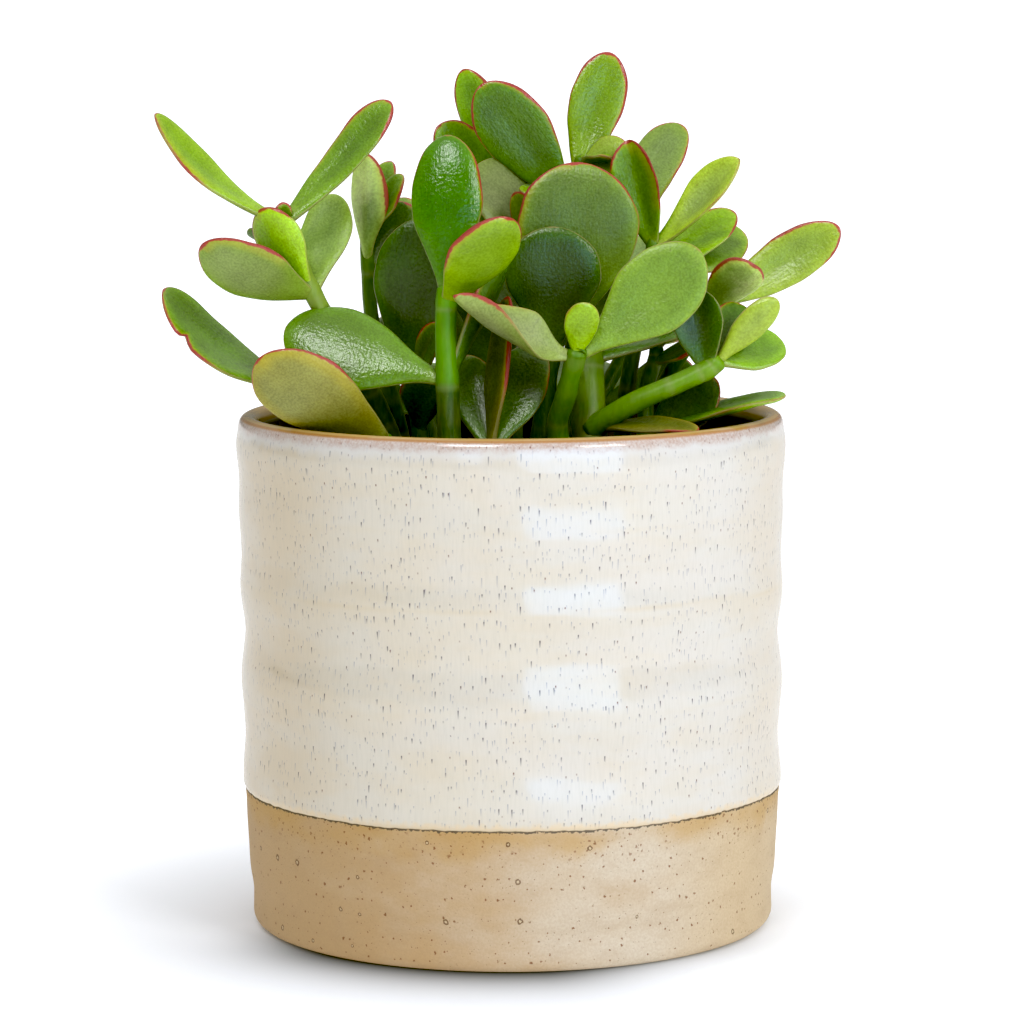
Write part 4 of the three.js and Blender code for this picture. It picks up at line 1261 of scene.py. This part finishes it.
def jadeLeafSkin():
    look = leafLook
    material, tree, shader = newMaterial("jade leaf skin, waxy")
    place = addNode(tree, "Attribute", {"attribute_name": "leafPlace"}, "Vector")
    place = addNode(tree, "VectorMath", {"operation": "SCALE", 0: place, "Scale": mm})
    base = addNode(tree, "Attribute", {"attribute_name": "skinColour"}, "Color")
    edge, rim, glow, waxy = pointValues(tree, "edge", "rim", "glow", "waxy")
    lengthways = addNode(tree, "Mapping", {
        "Vector": place, "Scale": (1, look["streakWidth"] / look["streakLength"], 1),
    })
    streak = blotches(tree, lengthways, look["streakWidth"], 1, 3, 0.3, 0.7)
    cloud = blotches(tree, place, 5.0, 1, 4, 0.3, 0.7)
    grain = blotches(tree, place, 0.55, 1, 2, 0.3, 0.7)
    unevenTone = total(tree, 0.72, (cloud, 0.2), (streak, 0.08), (grain, 0.28))
    base = addNode(tree, "VectorMath", {"operation": "SCALE", 0: base, "Scale": unevenTone})
    base = coat(tree, base, look["dust"], grain, waxy, 0.1)
    base = coat(tree, base, look["pore"], speckles(tree, place, 0.3, 1.0, look["poreSpacing"], 0.8), 0.22)
    base = coat(tree, base, look["blemish"], speckles(tree, place, 0.6, 1.3, 7.5, 0.5), 0.4)
    base = coat(tree, base, look["paleEdge"], (edge, 0.3, 0.08), 0.45)
    # the red margin has a ragged border, and a yellow glow inside it
    rough = blotches(tree, place, 1.3, 1, 3, 0.2, 0.8)
    ragged = total(tree, -0.15, (edge, 1.0), (rim, -1.0), (rough, 0.3))
    inside = addNode(tree, "Math", {"operation": "DIVIDE", 0: ragged, 1: glow})
    hasRim = where(tree, (rim, 0.04, 0.3))
    base = coat(tree, base, look["glowInside"], (inside, 1.6, 0.0), hasRim, 0.38)
    base = coat(tree, base, look["crimson"], (ragged, 0.22, -0.1), hasRim, 0.9)
    base = coat(tree, base, look["wine"], (ragged, -0.2, -0.8), hasRim, 0.5)
    roughness = addNode(tree, "MapRange", {
        "Value": waxy, "To Min": look["glossRoughness"], "To Max": look["waxRoughness"],
    })
    height = total(tree, blotches(tree, place, 0.9, 1, 2, 0.2, 0.8), (streak, 0.3))
    setNode(shader, {
        "Base Color": base, "Roughness": roughness, "IOR": look["ior"],
        "Subsurface Weight": 0.08, "Subsurface Radius": look["lightInside"], "Subsurface Scale": 1 * mm,
        "Normal": addNode(tree, "Bump", {"Height": height, "Strength": 0.7, "Distance": look["relief"] * mm}),
    })
    return material


# Jade stem: a fleshy green skin that turns to thin grey-brown bark on the oldest wood, with a pale ring
# where each pair of leaves sits or has been shed.
stemLook = {
    "ring": "#A8AE7C",
    "bark": "#7C7650",
    "paleStreak": "#8CAA3C",
    "darkStreak": "#3C5416",
    "fleck": "#A9BC50",
    "roughness": 0.42,
    "ior": 1.35,
    "relief": 0.15,
    "lightInside": (0.9, 1.4, 0.4),
}


def jadeStemSkin():
    look = stemLook
    material, tree, shader = newMaterial("jade stem skin, fleshy")
    coords = addNode(tree, "TexCoord", None, "Object")
    base = addNode(tree, "Attribute", {"attribute_name": "skinColour"}, "Color")
    scar, cork = pointValues(tree, "nodeScar", "cork")
    streak = blotches(tree, coords, 1.2, 4.5, 3, 0.35, 0.7)
    base = coat(tree, base, look["paleStreak"], streak, 0.2)
    base = coat(tree, base, look["darkStreak"], blotches(tree, coords, 2.4, 2.5, 3, 0.5, 0.75), 0.25)
    patches = where(tree, blotches(tree, coords, 2.6, 1.6, 5, 0.35, 0.6), cork)
    base = coat(tree, base, look["bark"], patches, 0.9)
    base = coat(tree, base, look["ring"], scar, 0.28)
    base = coat(tree, base, look["fleck"], speckles(tree, coords, 0.4, 1.5, 1.2, 0.7), 0.15)
    height = total(tree, patches, (streak, 0.6))
    setNode(shader, {
        "Base Color": base, "Roughness": look["roughness"], "IOR": look["ior"],
        "Subsurface Weight": 0.08, "Subsurface Radius": look["lightInside"], "Subsurface Scale": 1 * mm,
        "Normal": addNode(tree, "Bump", {"Height": height, "Strength": 0.5, "Distance": look["relief"] * mm}),
    })
    return material


# Painted shade: leaves and stems are painted a deeper, darker green, and made more matt, where other leaves
# or the pot's wall hide them from the sky, most of all low in the pot
paintedShade = {
    "rays": 28,
    "reach": 70.0,
    "lift": 0.35,
    "from": 0.25,
    "to": 0.92,
    "shadeTint": (0.3, 0.46, 0.15, 1.0),
    "waxy": 1.1,
}


def hiddenFromSky(points, faces, walls):
    # how much of the sky each point misses behind other leaves or the pot's wall, by a spread of short rays
    quads = np.array([f if len(f) == 4 else f + [f[0]] for f in faces])
    a, b, c, d = (points[quads[:, i]] for i in range(4))
    facing = np.cross(c - a, d - b)
    normals = np.zeros_like(points)
    for i in range(4):
        np.add.at(normals, quads[:, i], facing)
    normals /= np.maximum(np.linalg.norm(normals, axis=1, keepdims=True), 1e-9)
    allPoints = np.concatenate([points, walls[0]])
    things = BVHTree.FromPolygons(allPoints.tolist(), joined([(points, faces), walls]))
    count = paintedShade["rays"]
    step = np.arange(count) + 0.5
    height = 1 - 2 * step / count
    turned = step * math.pi * (3 - math.sqrt(5))  # by the golden angle, so that the rays spread evenly
    flat = np.sqrt(1 - height**2)
    aims = np.stack([flat * np.cos(turned), flat * np.sin(turned), height], axis=1)
    sky = 0.25 + 0.75 * np.clip(height, 0, 1) + 0.25 * np.clip(-aims[:, 1], 0, 1)
    facing = normals @ aims.T
    weight = np.where(facing > 0.15, facing * sky, 0)
    starts = points + normals * paintedShade["lift"]
    rays = [Vector(aim) for aim in aims]
    hidden = np.zeros(len(points))
    for k in range(len(points)):
        origin = Vector(starts[k])
        for j in np.flatnonzero(weight[k]):
            if things.ray_cast(origin, rays[j], paintedShade["reach"])[0] is not None:
                hidden[k] += weight[k, j]
    return hidden / np.maximum(weight.sum(axis=1), 1e-9)


plant = {}
seed = 100
for name, branches in leafyStems.items():
    parts = []
    for branch in branches:
        parts.append(stemMesh(branch, seed) + (1,))
        for one in branch["leaves"]:
            seed += 1
            parts.append(bladeMesh(np.array(branch["path"][one["at"]], float), one, seed) + (0,))
        seed += 1
    plant[name] = {
        "points": np.concatenate([points for points, _, _, _ in parts]),
        "faces": joined([(points, faces) for points, faces, _, _ in parts]),
        "skinOfFace": np.concatenate([[skin] * len(faces) for _, faces, _, skin in parts]),
        "values": {key: np.concatenate([values[key] for _, _, values, _ in parts]) for key in parts[0][2]},
    }
print("plant shaped")

meshes = [(whole["points"], whole["faces"]) for whole in plant.values()]
wholePoints = np.concatenate([points for points, _ in meshes])
hiddenShare = hiddenFromSky(wholePoints, joined(meshes), (clayPoints, clayFaces))
print("shade found")

leafSkin, stemSkin = jadeLeafSkin(), jadeStemSkin()
shift = 0
for name, whole in plant.items():
    values, size = whole["values"], len(whole["points"])
    shade = ease(hiddenShare[shift:shift + size], paintedShade["from"], paintedShade["to"])
    shift += size
    # painted shade: darken each point's colour by how much of the sky it misses
    values["skinColour"] = mixColours(values["skinColour"], values["skinColour"] * paintedShade["shadeTint"], shade)
    values["waxy"] = values["waxy"] + (paintedShade["waxy"] - values["waxy"]) * shade
    makePiece(
        "stem_" + name, whole["points"], whole["faces"], [leafSkin, stemSkin],
        ["leafy_stem_" + name], values, whole["skinOfFace"],
    )


# Potting soil: dark, moist and crumbly, low mounds with loose crumbs, bark chips and a little grit on top
soil = {
    "top": 110.0,
    "gap": 0.15,
    "edgeDrop": 1.2,
    "relief": 0.7,
    "rings": 70,
    "segments": 220,
    "skirt": 9.0,
    "crumbs": 1300,
    "crumbSizes": (0.45, 1.7),
    "roughness": 0.95,
    "peat": "#2A1F16",
    "loam": "#46352A",
    "barkChip": "#6B4E35",
    "grit": "#8F867A",
}


def groundRise(x, y):
    mounds = np.sin(0.21 * x + 0.6) * np.cos(0.17 * y)
    dips = 0.5 * np.sin(0.38 * x - 0.33 * y)
    return soil["relief"] * (mounds + dips)


crumble = waves(31, 14, 2.2, 8)
crumbleFine = waves(32, 14, 1.0, 2.4)


def groundLevel(x, y):
    flat = np.stack([x, y, np.zeros_like(x)], axis=-1)
    reach = np.hypot(x, y)
    rough = 0.45 * crumble(flat) + 0.22 * crumbleFine(flat)
    return soil["top"] - 0.3 + groundRise(x, y) + rough - soil["edgeDrop"] * ease(reach, 55, 62)


def soilMesh():
    draw = np.random.RandomState(41)
    rim = float(innerRadius(soil["top"])) - soil["gap"]
    spokes = np.linspace(0, 2 * math.pi, soil["segments"], endpoint=False)
    reach = rim * np.linspace(1, 0.02, soil["rings"])
    x, y = reach[:, None] * np.cos(spokes), reach[:, None] * np.sin(spokes)
    top = np.stack([x, y, groundLevel(x, y)], axis=-1)
    bottom = soil["top"] - soil["skirt"]
    low = float(innerRadius(bottom)) - soil["gap"]
    skirt = np.stack([low * np.cos(spokes), low * np.sin(spokes), np.full_like(spokes, bottom)], axis=-1)
    points = np.concatenate([skirt[None], top]).reshape(-1, 3)
    ends = np.array([[0, 0, bottom], [0, 0, float(groundLevel(np.array(0.0), np.array(0.0)))]])
    points = np.concatenate([points, ends])
    faces = facesOut(points, tubeFaces(soil["rings"] + 1, soil["segments"]))
    ball = bmesh.new()
    bmesh.ops.create_icosphere(ball, subdivisions=2, radius=1.0)
    ballPoints = np.array([v.co for v in ball.verts])
    ballFaces = [[v.index for v in f.verts] for f in ball.faces]
    ball.free()
    meshes, kind = [(points, faces)], [np.zeros(len(points))]
    for _ in range(soil["crumbs"]):
        distance = (rim - 1.5) * math.sqrt(draw.uniform())
        direction = draw.uniform(0, 2 * math.pi)
        small, large = soil["crumbSizes"]
        size = small + (large - small) * draw.uniform() ** 3
        stretch = draw.uniform(0.6, 1.3, 3) * size
        turned = unit(draw.normal(size=(3, 3)))
        lumps = 1 + 0.22 * waves(draw.randint(1e6), 4, 0.8, 2.2)(ballPoints)
        shape = (ballPoints * lumps[:, None] * stretch) @ np.linalg.qr(turned)[0]
        cx, cy = distance * math.cos(direction), distance * math.sin(direction)
        ground = float(groundLevel(np.array(cx), np.array(cy)))
        shape += (cx, cy, ground + 0.25 * size)
        meshes.append((shape, ballFaces))
        kind.append(np.full(len(shape), draw.uniform()))
    return np.concatenate([points for points, _ in meshes]), joined(meshes), np.concatenate(kind)


def pottingSoil():
    material, tree, shader = newMaterial("potting soil, moist peat and bark")
    coords = addNode(tree, "TexCoord", None, "Object")
    kind, = pointValues(tree, "crumbKind")
    base = coat(tree, soil["peat"], soil["loam"], blotches(tree, coords, 2.5, 1, 5, 0.35, 0.65))
    base = coat(tree, base, soil["barkChip"], (kind, 0.72, 0.8), 0.7)
    base = coat(tree, base, soil["grit"], (kind, 0.95, 0.96), 0.8)
    grain = blotches(tree, coords, 0.5, 1, 4, 0.3, 0.7)
    setNode(shader, {
        "Base Color": base, "Roughness": soil["roughness"],
        "Normal": addNode(tree, "Bump", {"Height": grain, "Strength": 0.8, "Distance": 0.3 * mm}),
    })
    return material


soilPoints, soilFaces, crumbKind = soilMesh()
makePiece(
    "soil_crumbs", soilPoints, soilFaces, [pottingSoil()], ["soil"],
    {"crumbKind": crumbKind},
)


# The studio: a white table and backdrop, soft light from the front right and from above, and standing
# bright cards that only show as reflections in the glaze and on the leaves
studio = {
    "tableSize": 60.0,
    "tableGlow": 0.12,
    "farGlow": 0.5,
    "glowFrom": 80.0,
    "glowTo": 180.0,
    "tableWhite": "#F6F6F6",
    "tableSeen": "#EEF2F9",
    "backdrop": 1.15,
    "even": 0.02,
    "overhead": 1.12,
    "behind": 0.23,
    "keyWatts": 9.3,
    "keySize": 0.5,
    "keyPlace": (0.9, -1.1, 0.75),
    "keyAim": (0, 0, 0.1),
    "topWatts": 1.6,
    "topSize": 0.24,
    "topPlace": (-0.3, -0.9, 0.95),
    "topAim": (0, 0, 0.13),
    "cardDistance": 0.72,
    "cardColour": (0.4, 0.65, 1.0, 1.0),
    "skyPlace": (-0.36, -1.08, 1.1),
    "skyAim": (0, 0, 0.14),
    "skySize": 0.55,
    "skyStrength": 11.0,
    "blackLevel": (0.006, 0.006, 0.02),
}
cards = {  # strength, middle, and the corners: degrees to the right of the front and height in metres
    "window_card": (4.5, 30, ((9, 0.002), (48, 0.002), (48, 0.3), (3, 0.3), (3, 0.2))),
    "small_card": (3.0, -18, ((-23, 0.2), (-13, 0.2), (-13, 0.3), (-23, 0.3))),
}
# painted shadow: the camera-seen table white is darkened in this shape round the pot's foot
shadow = {  # the pot's shadow on the table, in mm from its foot; deepest in front, short on the right
    "footRadius": 61.4,
    "depth": 0.85,
    "leastDepth": 0.15,
    "rate": 0.045,
    "rateOnRight": 0.1,
    "rateSquared": 0.0016,
    "lighterOnRight": 0.45,
    "brighterOnRight": 33.0,
}
viewSettings = bpy.context.scene.view_settings
viewSettings.view_transform = "Standard"
viewSettings.use_curve_mapping = True
viewSettings.curve_mapping.black_level = studio["blackLevel"]
viewSettings.curve_mapping.update()


def softbox(name, place, aim, size, watts):
    light = bpy.data.lights.new(name, "AREA")
    light.shape, light.size, light.energy = "SQUARE", size, watts
    lamp = bpy.data.objects.new(name, light)
    bpy.context.scene.collection.objects.link(lamp)
    lamp.location = place
    away = np.array(place) - np.array(aim)
    flat = math.hypot(away[0], away[1])
    lamp.rotation_euler = (math.atan2(flat, away[2]), 0, math.atan2(away[0], -away[1]))


def stageMesh(name, corners, material):
    mesh = bpy.data.meshes.new(name)
    mesh.from_pydata(corners, [], [list(range(len(corners)))])
    mesh.materials.append(material)
    sheet = bpy.data.objects.new(name, mesh)
    bpy.context.scene.collection.objects.link(sheet)
    return sheet


def shadowShare(tree):
    # how much of the table's white the pot's painted shadow takes away at each place, and how far that place
    # is from the axis
    place = addNode(tree, "NewGeometry", None, "Position")
    flat = addNode(tree, "VectorMath", {"operation": "MULTIPLY", 0: place, 1: (1 / mm, 1 / mm, 0)})
    reach = addNode(tree, "VectorMath", {"operation": "LENGTH", 0: flat}, "Value")
    aim = addNode(tree, "VectorMath", {"operation": "NORMALIZE", 0: flat})
    split = addNode(tree, "SeparateXYZ", {0: aim}).node.outputs
    onRight = where(tree, (split["X"], 0.1, 0.7))
    inFront = where(tree, (split["Y"], -0.15, -0.75))
    deep = total(tree, shadow["leastDepth"], (inFront, shadow["depth"]))
    lighter = total(tree, 1.0, (onRight, -shadow["lighterOnRight"]))
    fromFoot = total(tree, -shadow["footRadius"], (reach, 1.0))
    away = addNode(tree, "Math", {"operation": "MAXIMUM", 0: fromFoot, 1: 0.0})
    rate = total(tree, shadow["rate"], (onRight, shadow["rateOnRight"]), (away, shadow["rateSquared"]))
    fall = addNode(tree, "Math", {"operation": "EXPONENT", 0: where(tree, away, rate, -1.0)})
    return where(tree, deep, lighter, fall), total(tree, reach, (onRight, shadow["brighterOnRight"]))


def whiteTable():
    # a matt white sheet; where the camera sees it, it carries the pot's painted shadow and brightens to pure
    # white away from the pot
    material, tree, both = newMaterial("white table", "MixShader")
    plain = addNode(tree, "BsdfPrincipled", {
        "Base Color": studio["tableWhite"], "Roughness": 0.9, "Specular IOR Level": 0.1,
        "Emission Color": (1, 1, 1, 1), "Emission Strength": studio["tableGlow"],
    })
    taken, reach = shadowShare(tree)
    left = total(tree, 1.0, (taken, -1.0))
    white = addNode(tree, "VectorMath", {
        "operation": "SCALE", 0: linear(studio["tableSeen"])[:3], "Scale": left,
    })
    farAway = where(tree, (reach, studio["glowFrom"], studio["glowTo"]))
    glow = where(tree, total(tree, studio["tableGlow"], (farAway, studio["farGlow"])), left)
    seen = addNode(tree, "AddShader", {
        0: addNode(tree, "BsdfDiffuse", {"Color": white}), 1: addNode(tree, "Emission", {"Strength": glow}),
    })
    setNode(both, {0: addNode(tree, "LightPath", None, "Is Camera Ray"), 1: plain, 2: seen})
    return material


def glossCard(name, corners, colour, strength):
    # a bright card that only gloss sees
    material, tree, shine = newMaterial("bright " + name.replace("_", " "), "Emission")
    setNode(shine, {"Color": colour, "Strength": strength})
    card = stageMesh(name, corners, material)
    card.visible_camera = card.visible_diffuse = card.visible_shadow = card.visible_transmission = False


def skyCorners():
    # a broad card high up in front, which the wettest leaves mirror
    place = np.array(studio["skyPlace"])
    toward = unit(np.array(studio["skyAim"]) - place)
    right = unit(np.cross(toward, (0, 0, 1)))
    up = np.cross(right, toward)
    half = studio["skySize"] / 2
    return [tuple(place + right * x * half + up * y * half) for x, y in ((-1, -1), (1, -1), (1, 1), (-1, 1))]


def standingCorners(middle, outlinePoints):
    # an upright card in front of the pot, square to the way towards its middle
    corners = []
    turned, distance, front = math.radians(middle), studio["cardDistance"], -pot["lipRadius"] * mm
    for degrees, height in outlinePoints:
        aside = distance * math.tan(math.radians(degrees - middle))
        x = distance * math.sin(turned) + aside * math.cos(turned)
        y = front - distance * math.cos(turned) + aside * math.sin(turned)
        corners.append((x, y, height))
    return corners


reach = studio["tableSize"] / 2
tableCorners = [(reach * x, reach * y, 0) for x, y in ((-1, -1), (1, -1), (1, 1), (-1, 1))]
stageMesh("table", tableCorners, whiteTable())
for name, (strength, middle, outlinePoints) in cards.items():
    glossCard(name, standingCorners(middle, outlinePoints), studio["cardColour"], strength)
glossCard("sky_card", skyCorners(), (1, 1, 1, 1), studio["skyStrength"])

softbox("key_light", studio["keyPlace"], studio["keyAim"], studio["keySize"], studio["keyWatts"])
softbox("top_light", studio["topPlace"], studio["topAim"], studio["topSize"], studio["topWatts"])

world = bpy.data.worlds.new("studio_surround")
bpy.context.scene.world = world
world.use_nodes = True
sky = world.node_tree
sky.nodes.clear()
aim = addNode(sky, "SeparateXYZ", {0: addNode(sky, "TexCoord", None, "Generated")}).node.outputs
above = where(sky, (aim["Z"], 0.2, 0.9))
behind = where(sky, (aim["Y"], 0.0, 0.8))
allRound = total(sky, studio["even"], (above, studio["overhead"]), (behind, studio["behind"]))
dim = addNode(sky, "Background", {"Color": (1, 1, 1, 1), "Strength": allRound})
bright = addNode(sky, "Background", {"Color": (1, 1, 1, 1), "Strength": studio["backdrop"]})
seen = addNode(sky, "LightPath", None, "Is Camera Ray")
addNode(sky, "OutputWorld", {"Surface": addNode(sky, "MixShader", {0: seen, 1: dim, 2: bright})})
print("studio ready")

# The camera stands a metre in front, a little above the rim, and looks slightly down
view = {
    "place": (0.00022, -1.0, 0.2227),
    "down": 6.93,
    "roll": -0.23,
    "lens": 143.66,
}
camera = bpy.data.objects.new("camera", bpy.data.cameras.new("camera"))
bpy.context.scene.collection.objects.link(camera)
camera.data.lens, camera.data.sensor_width = view["lens"], 36
camera.location = view["place"]
camera.rotation_mode = "XYZ"
camera.rotation_euler = (math.radians(90 - view["down"]), 0, 0)
camera.rotation_euler.rotate_axis("Z", math.radians(view["roll"]))
bpy.context.scene.camera = camera
